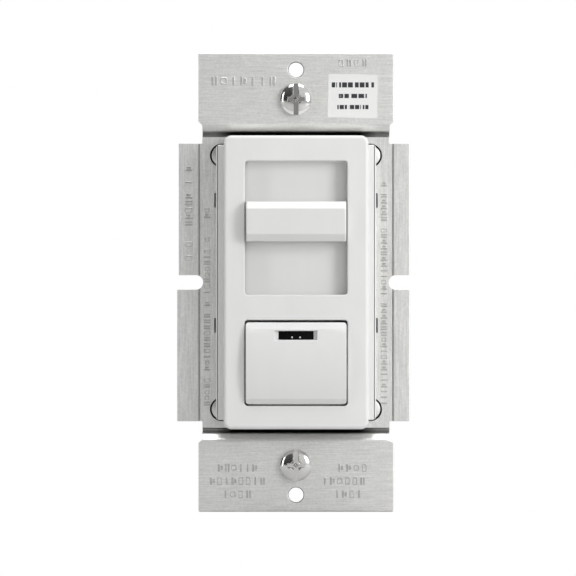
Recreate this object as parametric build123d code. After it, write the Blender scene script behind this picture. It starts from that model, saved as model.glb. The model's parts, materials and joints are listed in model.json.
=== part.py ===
from build123d import *

import math
import os

# Wall-box dimmer with a slider and a push pad, in millimetres.
# X points right, Z points up and the front faces -Y.  The origin is on the back face of the
# strap's ears, which seats on the wall, midway between the two wallplate screw holes.

# ---------------------------------------------------------------- face frame
FACE_W = 32.8                 # raised insert that fills the wallplate's window
FACE_H = 66.5
FACE_DEPTH = 8.4              # from the strap's middle plate to the front of the insert
FACE_T = 1.8                  # front wall of the insert
FACE_WALL = 1.6               # side walls of the insert
FACE_CORNER_R = 1.8
FACE_EDGE_R = 0.8
FLANGE_OVERHANG = 1.8         # flange past the insert on the left and right
FLANGE_TRIM = 1.95            # flange stops short of the insert's top and bottom
FLANGE_T = 3.4
FLANGE_CORNER_R = 0.8
HOOK_W = 3.0                  # snap hooks that hold the frame on the strap
HOOK_T = 1.1
HOOK_BARB = 0.7
HOOK_CATCH = 1.2
HOOK_UPPER_DROP = 12.6        # from the flange's top edge to the upper hooks
HOOK_LOWER_RISE = 21.5        # from the flange's bottom edge to the lower hooks

# ---------------------------------------------------------------- slider
RECESS_SIDE = 4.8             # frame width beside the slider recess
RECESS_TOP = 5.79             # frame height above the recess
RECESS_DEPTH = 3.0
RECESS_CORNER_R = 0.7
BAR_H = 5.75                  # frame between the recess and the push pad
FLOOR_T = 1.0                 # panel behind the recess
FLOOR_LAP = 2.4               # panel held past the recess at its top and bottom
STAKE_R = 0.7                 # pins that hold the panel
STAKE_HEAD_R = 1.15
STAKE_HEAD_T = 0.4
STAKE_SPREAD = 0.7            # pins' places across the panel, as a share of its half width
KNOB_H = 9.0
KNOB_PROUD = 2.6              # knob in front of the face
KNOB_BEVEL_H = 1.6
KNOB_BEVEL_D = 1.3
KNOB_END_R = 0.45
KNOB_WALL = 1.5
KNOB_DROP = 13.695            # from the recess's top edge to the knob's middle, at rest
WING_T = 0.75                 # wings that pass sideways under the front wall
ARM_T = 0.85                  # arms that pass round the floor panel
ARM_SET = 0.55                # arms past the recess's sides
ARM_H = 5.0
CARRIAGE_T = 1.2
CARRIAGE_H = 7.0
LEVER_W = 4.0                 # potentiometer lever
LEVER_T = 1.2
END_STOP_GAP = 0.4            # knob to recess edge at each end of its travel

# ---------------------------------------------------------------- push pad
PAD_SIDE = 4.75               # frame width beside the pad's window
PAD_BOTTOM = 5.31             # frame height below the window
PAD_WINDOW_H = 19.39
PAD_TOP_GAP = 0.5
PAD_BOTTOM_GAP = 0.35
PAD_PROUD = 0.9               # pad's ends in front of the face
PAD_CROWN = 0.7               # further rise at the pad's middle
PAD_TOP_BEVEL = 1.5
PAD_BOTTOM_BEVEL = 1.2
PAD_WALL = 1.5
PAD_SKIRT = 3.5               # pad's side walls behind the face
PAD_LIP = 0.9                 # lip that stops the pad from swinging out
PAD_LIP_T = 0.8
TRUNNION_R = 0.9
TRUNNION_DROP = 1.25          # from the pad's top edge down to its pivot
TRUNNION_SET = 3.0            # from the face's front back to the pivot
TRUNNION_L = 2.0
BEARING_WALL = 0.9            # frame's bearing above and below the trunnion
BEARING_BACK = 0.6            # and behind it
BEARING_MOUTH = 0.75          # width of the bearing's snap-in mouth, as a share of its bore
PUSHER_R = 2.0
PUSHER_RISE = 6.44            # from the window's bottom edge to the pusher
LENS_W = 9.45                 # locator light window in the pad
LENS_H = 2.0
LENS_DROP = 2.45              # from the window's top edge
LENS_SET = 1.0                # lens face behind the pad's front
LENS_T = 1.2

# ---------------------------------------------------------------- mounting strap
STRAP_T = 1.5
PLATE_SET_BACK = 2.0          # middle plate behind the ears
JOGGLE_RUN = 2.55             # height over which the bend drops
JOGGLE_GAP = 0.05             # flat plate left beyond the insert
BOX_SCREW_INSET = 5.82        # from the ear's inner edge: box screws come 83.34 mm apart
WALLPLATE_STEP = 6.75         # from the box screw: wallplate holes come 96.84 mm apart
EAR_END = 3.83                # ear past the wallplate hole
EAR_STEP = 0.85               # ear past the neck on each side
EAR_CHAMFER = 0.8
NECK_MARGIN = 0.45            # neck past the housing on each side
SCORE_STEP = 0.75             # score line past the neck
SCORE_W = 0.45
SCORE_DEPTH = 0.7
FIN_TRIM = 1.55               # fins stop short of the insert's ends
FIN_W_LEFT_UPPER = 4.65       # break-off fins, measured from the score lines
FIN_W_LEFT_LOWER = 5.0
FIN_W_RIGHT = 3.8
NOTCH_H = 3.3                 # notch halfway down each fin
NOTCH_REACH = 0.9             # notch past the score line
WALLPLATE_HOLE_R = 1.7
BOX_SLOT_L = 6.2
BOX_SLOT_W = 4.2
LABEL_W = 11.3
LABEL_H = 9.9
LABEL_T = 0.1
LABEL_X = 12.95
LABEL_DROP = 9.8              # from the ear's end to the label's middle
LABEL_TURN = 1.0

# ---------------------------------------------------------------- screws and rivets
SCREW_HEAD_R = 3.6
SCREW_HEAD_T = 1.9
SCREW_DOME = 0.6
SCREW_NECK_R = 1.45
SCREW_THREAD_R = 1.75
SCREW_L = 20.0
SCREW_POINT = 0.7
DRIVE_SLOT_W = 1.1
DRIVE_DEPTH = 1.2
DRIVE_CROSS = 3.6
KEEPER_R = 3.4
KEEPER_T = 0.8
RIVET_HEAD_R = 2.3
RIVET_HEAD_T = 0.6
RIVET_R = 1.2
RIVET_TAIL_R = 1.9
RIVET_TAIL_T = 0.7
RIVET_BORE_R = 0.8
RIVET_BORE_D = 4.0
RIVET_SLIT = 0.37             # open ring round each rivet head
RIVET_OUT = 0.55              # rivet axis past the insert's side
RIVET_IN = 2.35               # rivet axis in from the flange's end

# ---------------------------------------------------------------- back housing
HOUSING_DEPTH = 31.0
HOUSING_WALL = 1.5
HOUSING_CORNER_R = 3.0
HOUSING_EDGE_R = 1.2
POST_R = 2.9                  # corner posts that the rivets pass through
POST_MARGIN_X = 1.05          # housing past the posts
POST_MARGIN_Z = 0.65
LEDGE_H = 2.0                 # ribs that carry the circuit board
LEDGE_REACH = 1.8
LEDGE_Z = 17.0
OUTLET_W = 18.0               # oblong outlet for the leads
OUTLET_H = 8.0
OUTLET_Z = -21.5
GROMMET_T = 1.2
GROMMET_LIP = 1.0             # lips, as wide as they are thick

# ---------------------------------------------------------------- inside
SHEET_T = 0.3
SHEET_MARGIN = 1.0            # sheet short of the housing's inner walls
BOARD_T = 1.6
BOARD_SET = 7.4               # from the strap's back to the board's front
POT_W = 9.0
POT_WALL = 0.5
POT_END = 7.0                 # case past the lever's travel at each end
TRACK_T = 0.8
WIPER_W = 6.0
WIPER_H = 5.0
WIPER_T = 1.6
STRIP_T = 0.2                 # sprung strips on the wiper
STRIP_FOOT_W = 1.4
STRIP_W = 1.0
STRIP_L = 4.0
STRIP_SLANT = 3.2
STRIP_TIP = 0.4
SWITCH_W = 16.0
SWITCH_H = 9.0
SWITCH_WALL = 1.2
SWITCH_BASE_T = 0.8
PLUNGER_R = 2.6
PLUNGER_PROUD = 2.3           # plunger's tip in front of the strap's plate
PLUNGER_CHAMFER = 0.4
PLUNGER_FLANGE_R = 3.0
PLUNGER_FLANGE_T = 0.9
BRIDGE_T = 0.5
BRIDGE_L = 11.0
BRIDGE_W = 3.0
BUTTON_R = 0.9                # contact buttons on the bridge
BUTTON_T = 0.4
BUTTON_INSET = 1.2            # from the bridge's end
CONTACT_STRIP_W = 1.6         # fixed contact under each button
CONTACT_W = 2.6
CONTACT_T = 0.5
SPRING_R = 2.2
SPRING_WIRE_R = 0.3
SPRING_TURNS = 3
PAD_SWING = 3.5               # degrees that the pad swings
PIPE_R = 1.6
COLLAR_REACH = 0.8            # light pipe's collar on the plate
COLLAR_T = 0.7
LED_R = 1.5
LED_L = 3.0
LED_DOME = 1.0
TAB_W = 10.0                  # power triac on the strap's back
TAB_H = 15.0
TAB_T = 1.3
TRIAC_BODY_H = 9.2
TRIAC_T = 4.5
TRIAC_X = -11.6
TRIAC_Z = 11.5
THERMAL_T = 0.2
THERMAL_MARGIN = 0.5          # thermal pad past the triac's tab
TRIAC_HOLE_DROP = 2.8         # from the tab's top to its hole
LEG_W = 0.8
LEG_T = 0.5
LEG_PITCH = 2.54
LEG_SET = 2.6                 # legs behind the tab's front
LEG_DROP = 3.0
TRIAC_SCREW_R = 1.5
TRIAC_SCREW_HEAD_R = 2.6
TRIAC_SCREW_HEAD_T = 1.6
TRIAC_SCREW_DOME = 0.5
TRIAC_SCREW_PAST = 0.6        # screw past its nut
TRIAC_SLOT_W = 0.7
NUT_AF = 5.5
NUT_T = 2.2
CHOKE_R = 10.5
CHOKE_BORE_R = 5.2
CHOKE_H = 7.5
WINDING_T = 1.0
WINDING_SPLIT = 2.0           # gap between the two banks
CHOKE_X = -5.4
CHOKE_Z = 16.6
COMPONENT_RISE = 0.4          # components above the board
PIN_R = 0.4
PIN_RISE = 0.5                # pins up into the components
FILM_X = 11.0                 # boxed film capacitor
FILM_Z = 15.7
FILM_W = 7.6
FILM_H = 17.8
FILM_D = 12.5
FILM_EDGE_R = 0.4
FILM_PINS = 14.6
CANS = [(12.8, -0.4, 5.0, 13.5), (-12.4, -1.6, 4.0, 11.0)]    # x, z, radius and height of each
CAN_EDGE_R = 0.5
CAN_PINS = 2.4
CRIMP_RISE = 1.2
CRIMP_W = 0.7
CRIMP_DEPTH = 0.35
VARISTOR_X = -1.3
VARISTOR_Z = -4.6
VARISTOR_R = 5.2
VARISTOR_T = 3.8
VARISTOR_EDGE_R = 1.2
VARISTOR_PINS = 5.0
LEAD_R = 0.3                  # axial components' leads
LEAD_REACH = 1.6
FUSE_X = 5.0
FUSE_Z = -5.0
FUSE_R = 1.9
FUSE_L = 9.2
FUSE_EDGE_R = 0.2
FUSE_CAP_R = 2.1
FUSE_CAP_L = 2.2
RESISTORS = [(-15.8, -11.8), (-12.4, -12.2), (13.0, -12.0), (16.2, -11.8)]    # x and z of each
RESISTOR_R = 1.1
RESISTOR_L = 4.5
RESISTOR_EDGE_R = 0.3
DIODES = [(-13.0, -24.4), (13.0, -24.4)]
DIODE_R = 1.2
DIODE_L = 4.2
DIODE_EDGE_R = 0.2
TERMINAL_PITCH = 3.9          # solder tabs for the leads
TERMINAL_Z = -20.05
TERMINAL_W = 2.4
TERMINAL_H = 5.5
TERMINAL_T = 0.7

# ---------------------------------------------------------------- clearances
RUN_GAP = 0.3                 # between pieces that move past each other
SIDE_GAP = 0.25               # beside the knob and the pad
SLIDE_GAP = 0.2               # over and under the knob's wings
PIVOT_GAP = 0.05              # radial, round the pad's trunnions
PIECE_GAP = 0.1               # between pieces that are set in each other
HEAD_GAP = 0.1                # under the captive screws' heads

# ---------------------------------------------------------------- construction
CUT = 1.0                     # cutting shapes run this far past what they cut
ROOT = 0.2                    # ribs and posts run this far into the wall that carries them

# ---------------------------------------------------------------- places worked out from the sizes
EAR_FRONT = -STRAP_T
PLATE_FRONT = PLATE_SET_BACK - STRAP_T
PLATE_BACK = PLATE_SET_BACK
FACE_FRONT = PLATE_FRONT - FACE_DEPTH
FACE_BACK = FACE_FRONT + FACE_T
FLOOR_FRONT = FACE_FRONT + RECESS_DEPTH
FLOOR_BACK = FLOOR_FRONT + FLOOR_T

CAVITY_X = FACE_W / 2 - FACE_WALL
CAVITY_Z = FACE_H / 2 - FACE_WALL
FLANGE_X = FACE_W / 2 + FLANGE_OVERHANG
FLANGE_Z = FACE_H / 2 - FLANGE_TRIM
HOOK_ZS = [FLANGE_Z - HOOK_UPPER_DROP, -FLANGE_Z + HOOK_LOWER_RISE]

RECESS_X = FACE_W / 2 - RECESS_SIDE
RECESS_HIGH = FACE_H / 2 - RECESS_TOP
WINDOW_X = FACE_W / 2 - PAD_SIDE
WINDOW_LOW = -FACE_H / 2 + PAD_BOTTOM
WINDOW_HIGH = WINDOW_LOW + PAD_WINDOW_H
RECESS_LOW = WINDOW_HIGH + BAR_H

KNOB_X = RECESS_X - SIDE_GAP
KNOB_Z = RECESS_HIGH - KNOB_DROP
KNOB_FRONT = FACE_FRONT - KNOB_PROUD
KNOB_BACK = FLOOR_FRONT - SLIDE_GAP
TRAVEL_UP = KNOB_DROP - KNOB_H / 2 - END_STOP_GAP
TRAVEL_DOWN = RECESS_HIGH - RECESS_LOW - KNOB_DROP - KNOB_H / 2 - END_STOP_GAP
ARM_IN = RECESS_X + ARM_SET
ARM_OUT = ARM_IN + ARM_T
FLOOR_X = ARM_IN - RUN_GAP
CARRIAGE_FRONT = FLOOR_BACK + RUN_GAP
CARRIAGE_BACK = CARRIAGE_FRONT + CARRIAGE_T
CARRIAGE_X = CAVITY_X - RUN_GAP

PAD_X = WINDOW_X - SIDE_GAP
PAD_HIGH = WINDOW_HIGH - PAD_TOP_GAP
PAD_LOW = WINDOW_LOW + PAD_BOTTOM_GAP
PAD_BACK = FACE_FRONT + PAD_SKIRT
PAD_CREST = FACE_FRONT - PAD_PROUD - PAD_CROWN
PIVOT_Z = PAD_HIGH - TRUNNION_DROP
PIVOT_Y = FACE_FRONT + TRUNNION_SET
PUSHER_Z = WINDOW_LOW + PUSHER_RISE
PLUNGER_TIP = PLATE_FRONT - PLUNGER_PROUD
LENS_Z = WINDOW_HIGH - LENS_DROP - LENS_H / 2

EAR_INNER = FACE_H / 2 + JOGGLE_GAP + JOGGLE_RUN
BOX_SCREW_Z = EAR_INNER + BOX_SCREW_INSET
WALLPLATE_Z = BOX_SCREW_Z + WALLPLATE_STEP
EAR_OUTER = WALLPLATE_Z + EAR_END

RIVET_X = FACE_W / 2 + RIVET_OUT
RIVET_Z = FLANGE_Z - RIVET_IN
HOUSING_X = RIVET_X + POST_R + POST_MARGIN_X
HOUSING_Z = RIVET_Z + POST_R + POST_MARGIN_Z
HOUSING_BACK = PLATE_BACK + HOUSING_DEPTH
INSIDE_X = HOUSING_X - HOUSING_WALL
INSIDE_Z = HOUSING_Z - HOUSING_WALL
INSIDE_BACK = HOUSING_BACK - HOUSING_WALL
NECK_X = HOUSING_X + NECK_MARGIN
SCORE_X = NECK_X + SCORE_STEP
EAR_X = NECK_X + EAR_STEP
FIN_Z = FACE_H / 2 - FIN_TRIM

SHEET_BACK = PLATE_BACK + SHEET_T
TAB_FRONT = PLATE_BACK + THERMAL_T
TAB_BACK = TAB_FRONT + TAB_T
TRIAC_HOLE_Z = TRIAC_Z + TAB_H / 2 - TRIAC_HOLE_DROP
BOARD_FRONT = PLATE_BACK + BOARD_SET
BOARD_BACK = BOARD_FRONT + BOARD_T
BOARD_X = INSIDE_X - 3 * PIECE_GAP
BOARD_Z = INSIDE_Z - 3 * PIECE_GAP
PART_FRONT = SHEET_BACK + PIECE_GAP           # front of what stands on the board's front side
PART_BACK = BOARD_FRONT - PIECE_GAP
PLATE_CUT = (PLATE_FRONT - CUT, SHEET_BACK + CUT)
EAR_CUT = (EAR_FRONT - CUT, CUT)
BOARD_CUT = (BOARD_FRONT - CUT, BOARD_BACK + CUT)
MOUNT_BACK = BOARD_BACK + COMPONENT_RISE      # front of what stands on the board's back side
PLUNGER_TRAVEL = (PIVOT_Z - PUSHER_Z) * math.radians(PAD_SWING)
POT_MIDDLE = KNOB_Z + (TRAVEL_UP - TRAVEL_DOWN) / 2
POT_Z = (TRAVEL_UP + TRAVEL_DOWN) / 2 + POT_END
LEVER_SLOT_Z = (TRAVEL_UP + TRAVEL_DOWN) / 2 + LEVER_T / 2 + RUN_GAP


# ---------------------------------------------------------------- shared shapes
def block(x0, x1, y0, y1, z0, z1):
    """Box between two corners."""
    return Pos((x0 + x1) / 2, (y0 + y1) / 2, (z0 + z1) / 2) * Box(x1 - x0, y1 - y0, z1 - z0)


def slab(outline, y0, y1):
    """Front outline, drawn in X and Z, given depth from y0 back to y1."""
    return Pos(0, y1, 0) * extrude(Plane.XZ * outline, amount=y1 - y0)


def bar(profile, x0, x1):
    """Side profile, drawn in Y and Z, run from x0 to x1."""
    return Pos(x0, 0, 0) * extrude(Plane.YZ * profile, amount=x1 - x0)


def rod(x, z, radius, y0, y1):
    """Round rod along Y."""
    return Pos(x, (y0 + y1) / 2, z) * Rot(90, 0, 0) * Cylinder(radius, y1 - y0)


def axle(x0, x1, y, z, radius):
    """Round rod along X."""
    return Pos((x0 + x1) / 2, y, z) * Rot(0, 90, 0) * Cylinder(radius, x1 - x0)


def post(x, y, z0, z1, radius):
    """Round rod along Z."""
    return Pos(x, y, (z0 + z1) / 2) * Cylinder(radius, z1 - z0)


def oblong(x, z, width, height, y0, y1):
    """Slot-shaped prism with its long way along X."""
    return slab(Pos(x, z) * SlotOverall(width, height), y0, y1)


def corners(x, z):
    return [(x, z), (-x, z), (-x, -z), (x, -z)]


# ---------------------------------------------------------------- strap and its fasteners
def strap_section():
    """Side section of the folded sheet: ear, bend, middle plate, bend, ear."""
    flat = FACE_H / 2 + JOGGLE_GAP
    front = [
        (EAR_FRONT, EAR_OUTER),
        (EAR_FRONT, EAR_INNER),
        (PLATE_FRONT, flat),
        (PLATE_FRONT, -flat),
        (EAR_FRONT, -EAR_INNER),
        (EAR_FRONT, -EAR_OUTER),
    ]
    back = [(y + STRAP_T, z) for y, z in reversed(front)]
    return make_face(Polyline(*front, *back, close=True))


def ear_outline(side):
    """Ear with the small chamfers at the corners next to its neck."""
    points = [
        (-EAR_X, EAR_OUTER),
        (EAR_X, EAR_OUTER),
        (EAR_X, EAR_INNER + EAR_CHAMFER),
        (NECK_X, EAR_INNER),
        (-NECK_X, EAR_INNER),
        (-EAR_X, EAR_INNER + EAR_CHAMFER),
    ]
    return make_face(Polyline(*[(x, side * z) for x, z in points], close=True))


def fin_outline(side, width, z0, z1):
    """One break-off fin, from the neck's side outwards."""
    reach = SCORE_X + width
    return Pos(side * (reach + NECK_X) / 2, (z0 + z1) / 2) * Rectangle(reach - NECK_X, z1 - z0)


def strap_outline():
    outline = Rectangle(2 * NECK_X, 2 * EAR_INNER)
    outline += ear_outline(1) + ear_outline(-1)
    outline += fin_outline(-1, FIN_W_LEFT_UPPER, 0, FIN_Z)
    outline += fin_outline(-1, FIN_W_LEFT_LOWER, -FIN_Z, 0)
    outline += fin_outline(1, FIN_W_RIGHT, -FIN_Z, FIN_Z)
    return outline


def mounting_strap():
    """Aluminium strap: two ears, a set-back plate and a break-off fin on each side."""
    wide = SCORE_X + max(FIN_W_LEFT_LOWER, FIN_W_LEFT_UPPER, FIN_W_RIGHT) + CUT
    strap = bar(strap_section(), -wide, wide)
    strap &= slab(strap_outline(), EAR_FRONT - CUT, PLATE_BACK + CUT)
    notch_end = SCORE_X - NOTCH_REACH + NOTCH_H / 2
    for side in (-1, 1):
        strap -= block(*sorted((side * notch_end, side * wide)), *PLATE_CUT, -NOTCH_H / 2, NOTCH_H / 2)
        strap -= rod(side * notch_end, 0, NOTCH_H / 2, *PLATE_CUT)
        strap -= block(side * SCORE_X - SCORE_W / 2, side * SCORE_X + SCORE_W / 2,
                       PLATE_FRONT - CUT, PLATE_FRONT + SCORE_DEPTH, -FIN_Z - CUT, FIN_Z + CUT)
        strap -= oblong(0, side * BOX_SCREW_Z, BOX_SLOT_L, BOX_SLOT_W, *EAR_CUT)
        strap -= rod(0, side * WALLPLATE_Z, WALLPLATE_HOLE_R, *EAR_CUT)
        for z in HOOK_ZS:
            inner = FLANGE_X - HOOK_T - RUN_GAP
            outer = FLANGE_X + RUN_GAP
            strap -= block(*sorted((side * inner, side * outer)), *PLATE_CUT,
                           z - HOOK_W / 2 - PIECE_GAP, z + HOOK_W / 2 + PIECE_GAP)
    for x, z in corners(RIVET_X, RIVET_Z):
        strap -= rod(x, z, RIVET_R + PIECE_GAP, *PLATE_CUT)
        strap -= rod(x, z, RIVET_HEAD_R + RIVET_SLIT, PLATE_FRONT - CUT, PLATE_FRONT + RIVET_HEAD_T)
    strap -= block(-LEVER_W / 2 - 2 * RUN_GAP, LEVER_W / 2 + 2 * RUN_GAP, *PLATE_CUT,
                   POT_MIDDLE - LEVER_SLOT_Z - RUN_GAP, POT_MIDDLE + LEVER_SLOT_Z + RUN_GAP)
    strap -= rod(0, PUSHER_Z, PLUNGER_R + 2 * RUN_GAP, *PLATE_CUT)
    strap -= rod(0, LENS_Z, PIPE_R + RUN_GAP, *PLATE_CUT)
    strap -= rod(TRIAC_X, TRIAC_HOLE_Z, TRIAC_SCREW_R + PIECE_GAP, *PLATE_CUT)
    return strap


def strap_rivets():
    """Four semi-tubular rivets that clamp the housing to the strap."""
    rivets = []
    for x, z in corners(RIVET_X, RIVET_Z):
        rivet = rod(x, z, RIVET_HEAD_R, PLATE_FRONT, PLATE_FRONT + RIVET_HEAD_T)
        rivet += rod(x, z, RIVET_R, PLATE_FRONT, HOUSING_BACK)
        rivet += rod(x, z, RIVET_TAIL_R, HOUSING_BACK - RIVET_TAIL_T, HOUSING_BACK)
        rivet -= rod(x, z, RIVET_BORE_R, HOUSING_BACK - RIVET_BORE_D, HOUSING_BACK + CUT)
        rivets.append(rivet)
    return Compound(rivets)


def strap_label():
    """Blank paper label on the upper ear."""
    label = Box(LABEL_W, LABEL_T, LABEL_H)
    return Pos(LABEL_X, EAR_FRONT - LABEL_T / 2, EAR_OUTER - LABEL_DROP) * Rot(0, LABEL_TURN, 0) * label


def box_screw(side):
    """Captive machine screw with a slot and a cross recess in its head."""
    z = side * BOX_SCREW_Z
    under = EAR_FRONT - HEAD_GAP
    top = under - SCREW_HEAD_T
    thread_start = HEAD_GAP + KEEPER_T + PIECE_GAP
    screw = rod(0, z, SCREW_HEAD_R, top, under)
    screw = fillet(screw.edges().filter_by(GeomType.CIRCLE).group_by(Axis.Y)[0], SCREW_DOME)
    screw += rod(0, z, SCREW_NECK_R, under, thread_start)
    shank = rod(0, z, SCREW_THREAD_R, thread_start, EAR_FRONT + SCREW_L)
    screw += chamfer(shank.edges().group_by(Axis.Y)[-1], SCREW_POINT)
    screw -= block(-DRIVE_SLOT_W / 2, DRIVE_SLOT_W / 2, top - CUT, top + DRIVE_DEPTH,
                   z - SCREW_HEAD_R - CUT, z + SCREW_HEAD_R + CUT)
    screw -= block(-DRIVE_CROSS / 2, DRIVE_CROSS / 2, top - CUT, top + DRIVE_DEPTH,
                   z - DRIVE_SLOT_W / 2, z + DRIVE_SLOT_W / 2)
    return screw


def screw_keeper(side):
    """Fibre washer behind the ear that keeps the screw in its slot."""
    z = side * BOX_SCREW_Z
    keeper = rod(0, z, KEEPER_R, HEAD_GAP, HEAD_GAP + KEEPER_T)
    return keeper - rod(0, z, SCREW_NECK_R + PIECE_GAP / 2, HEAD_GAP - CUT, HEAD_GAP + KEEPER_T + CUT)


# ---------------------------------------------------------------- face frame
def frame_shell():
    """Raised insert and its flange, hollow from behind."""
    insert = slab(RectangleRounded(FACE_W, FACE_H, FACE_CORNER_R), FACE_FRONT, PLATE_FRONT)
    insert = fillet(insert.faces().sort_by(Axis.Y)[0].edges(), FACE_EDGE_R)
    flange = slab(RectangleRounded(2 * FLANGE_X, 2 * FLANGE_Z, FLANGE_CORNER_R),
                  PLATE_FRONT - FLANGE_T, PLATE_FRONT)
    shell = insert + flange
    return shell - block(-CAVITY_X, CAVITY_X, FACE_BACK, PLATE_FRONT + CUT, -CAVITY_Z, CAVITY_Z)


def frame_hooks():
    """Snap hooks that pass through the strap and catch behind it."""
    hooks = Part()
    for side in (-1, 1):
        for z in HOOK_ZS:
            z0 = z - HOOK_W / 2
            z1 = z + HOOK_W / 2
            stem = sorted((side * (FLANGE_X - HOOK_T), side * FLANGE_X))
            barb = sorted((side * (FLANGE_X - HOOK_T), side * (FLANGE_X + HOOK_BARB)))
            catch = PLATE_BACK + PIECE_GAP
            hooks += block(*stem, PLATE_FRONT - ROOT, catch + HOOK_CATCH, z0, z1)
            hooks += block(*barb, catch, catch + HOOK_CATCH, z0, z1)
    return hooks


def stake_places():
    """Middles of the pins that hold the floor panel."""
    x = RECESS_X * STAKE_SPREAD
    lap = FLOOR_LAP / 2
    return [(s * x, z) for s in (-1, 1) for z in (RECESS_HIGH + lap, RECESS_LOW - lap)]


def floor_seats():
    """Ribs that the floor panel lies on, with its staked pins."""
    seats = Part()
    for z0, z1 in ((RECESS_HIGH, RECESS_HIGH + FLOOR_LAP), (RECESS_LOW - FLOOR_LAP, RECESS_LOW)):
        seats += block(-FLOOR_X, FLOOR_X, FACE_BACK - ROOT, FLOOR_FRONT, z0, z1)
    for x, z in stake_places():
        seats += rod(x, z, STAKE_R, FLOOR_FRONT - ROOT, FLOOR_BACK + STAKE_HEAD_T)
        seats += rod(x, z, STAKE_HEAD_R, FLOOR_BACK, FLOOR_BACK + STAKE_HEAD_T)
    return seats


def trunnion_bearings():
    """Snap-in bearings for the push pad, one on each side."""
    bearings = Part()
    bore_r = TRUNNION_R + PIVOT_GAP
    for side in (-1, 1):
        x0, x1 = sorted((side * (PAD_X + RUN_GAP + PIECE_GAP), side * (CAVITY_X + ROOT)))
        back = PIVOT_Y + bore_r + BEARING_BACK
        bearing = block(x0, x1, FACE_BACK - ROOT, back,
                        PIVOT_Z - bore_r - BEARING_WALL, PIVOT_Z + bore_r + BEARING_WALL)
        bearing -= axle(x0 - CUT, x1 + CUT, PIVOT_Y, PIVOT_Z, bore_r)
        mouth = bore_r * BEARING_MOUTH
        bearing -= block(x0 - CUT, x1 + CUT, PIVOT_Y, back + CUT, PIVOT_Z - mouth, PIVOT_Z + mouth)
        bearings += bearing
    return bearings


def face_frame():
    """Moulded frame with the slider recess and the push pad's window."""
    frame = frame_shell() + frame_hooks() + floor_seats() + trunnion_bearings()
    recess = RectangleRounded(2 * RECESS_X, RECESS_HIGH - RECESS_LOW, RECESS_CORNER_R)
    frame -= slab(Pos(0, (RECESS_HIGH + RECESS_LOW) / 2) * recess, FACE_FRONT - CUT, FACE_BACK + PIECE_GAP)
    window = RectangleRounded(2 * WINDOW_X, PAD_WINDOW_H, RECESS_CORNER_R)
    frame -= slab(Pos(0, (WINDOW_HIGH + WINDOW_LOW) / 2) * window, FACE_FRONT - CUT, FACE_BACK + PIECE_GAP)
    return frame


def slider_floor():
    """Panel that closes the back of the slider recess."""
    panel = block(-FLOOR_X, FLOOR_X, FLOOR_FRONT, FLOOR_BACK,
                  RECESS_LOW - FLOOR_LAP, RECESS_HIGH + FLOOR_LAP)
    for x, z in stake_places():
        panel -= rod(x, z, STAKE_R + PIECE_GAP / 2, FLOOR_FRONT - CUT, FLOOR_BACK + CUT)
    return panel


# ---------------------------------------------------------------- slider
def slider_knob():
    """Full-width knob, with wings and arms that reach round the floor panel."""
    half = KNOB_H / 2
    bevel = KNOB_FRONT + KNOB_BEVEL_D
    profile = [
        (KNOB_BACK, KNOB_Z + half),
        (bevel, KNOB_Z + half),
        (KNOB_FRONT, KNOB_Z + half - KNOB_BEVEL_H),
        (KNOB_FRONT, KNOB_Z - half + KNOB_BEVEL_H),
        (bevel, KNOB_Z - half),
        (KNOB_BACK, KNOB_Z - half),
    ]
    knob = bar(make_face(Polyline(*profile, close=True)), -KNOB_X, KNOB_X)
    ends = knob.faces().filter_by(Axis.X)
    front_edges = [e for end in ends for e in end.edges() if e.center().Y < bevel + PIECE_GAP]
    knob = fillet(front_edges, KNOB_END_R)
    knob -= block(-KNOB_X + KNOB_WALL, KNOB_X - KNOB_WALL, KNOB_FRONT + KNOB_WALL, KNOB_BACK + CUT,
                  KNOB_Z - half + KNOB_WALL, KNOB_Z + half - KNOB_WALL)
    for side in (-1, 1):
        wing = sorted((side * (KNOB_X - KNOB_WALL / 2), side * ARM_OUT))
        knob += block(*wing, KNOB_BACK - WING_T, KNOB_BACK, KNOB_Z - ARM_H / 2, KNOB_Z + ARM_H / 2)
        arm = sorted((side * ARM_IN, side * ARM_OUT))
        knob += block(*arm, KNOB_BACK - WING_T, CARRIAGE_BACK, KNOB_Z - ARM_H / 2, KNOB_Z + ARM_H / 2)
    return knob


def slider_carriage():
    """Bridge behind the floor panel that joins the knob's arms to the lever."""
    bridge = block(-CARRIAGE_X, CARRIAGE_X, CARRIAGE_FRONT, CARRIAGE_BACK,
                   KNOB_Z - CARRIAGE_H / 2, KNOB_Z + CARRIAGE_H / 2)
    for side in (-1, 1):
        socket = sorted((side * (ARM_IN - PIECE_GAP), side * (ARM_OUT + PIECE_GAP)))
        bridge -= block(*socket, CARRIAGE_FRONT - CUT, CARRIAGE_BACK + CUT,
                        KNOB_Z - ARM_H / 2 - PIECE_GAP, KNOB_Z + ARM_H / 2 + PIECE_GAP)
    x = LEVER_W / 2 + PIECE_GAP
    z = LEVER_T / 2 + PIECE_GAP
    return bridge - block(-x, x, CARRIAGE_FRONT - CUT, CARRIAGE_BACK + CUT, KNOB_Z - z, KNOB_Z + z)


def wiper_front():
    return PART_FRONT + POT_WALL + RUN_GAP


def potentiometer_lever():
    """Flat lever from the carriage into the potentiometer, ending in its wiper block."""
    wiper_y = wiper_front()
    lever = block(-LEVER_W / 2, LEVER_W / 2, CARRIAGE_FRONT, wiper_y + ROOT,
                  KNOB_Z - LEVER_T / 2, KNOB_Z + LEVER_T / 2)
    lever += block(-WIPER_W / 2, WIPER_W / 2, wiper_y, wiper_y + WIPER_T,
                   KNOB_Z - WIPER_H / 2, KNOB_Z + WIPER_H / 2)
    return lever


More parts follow.
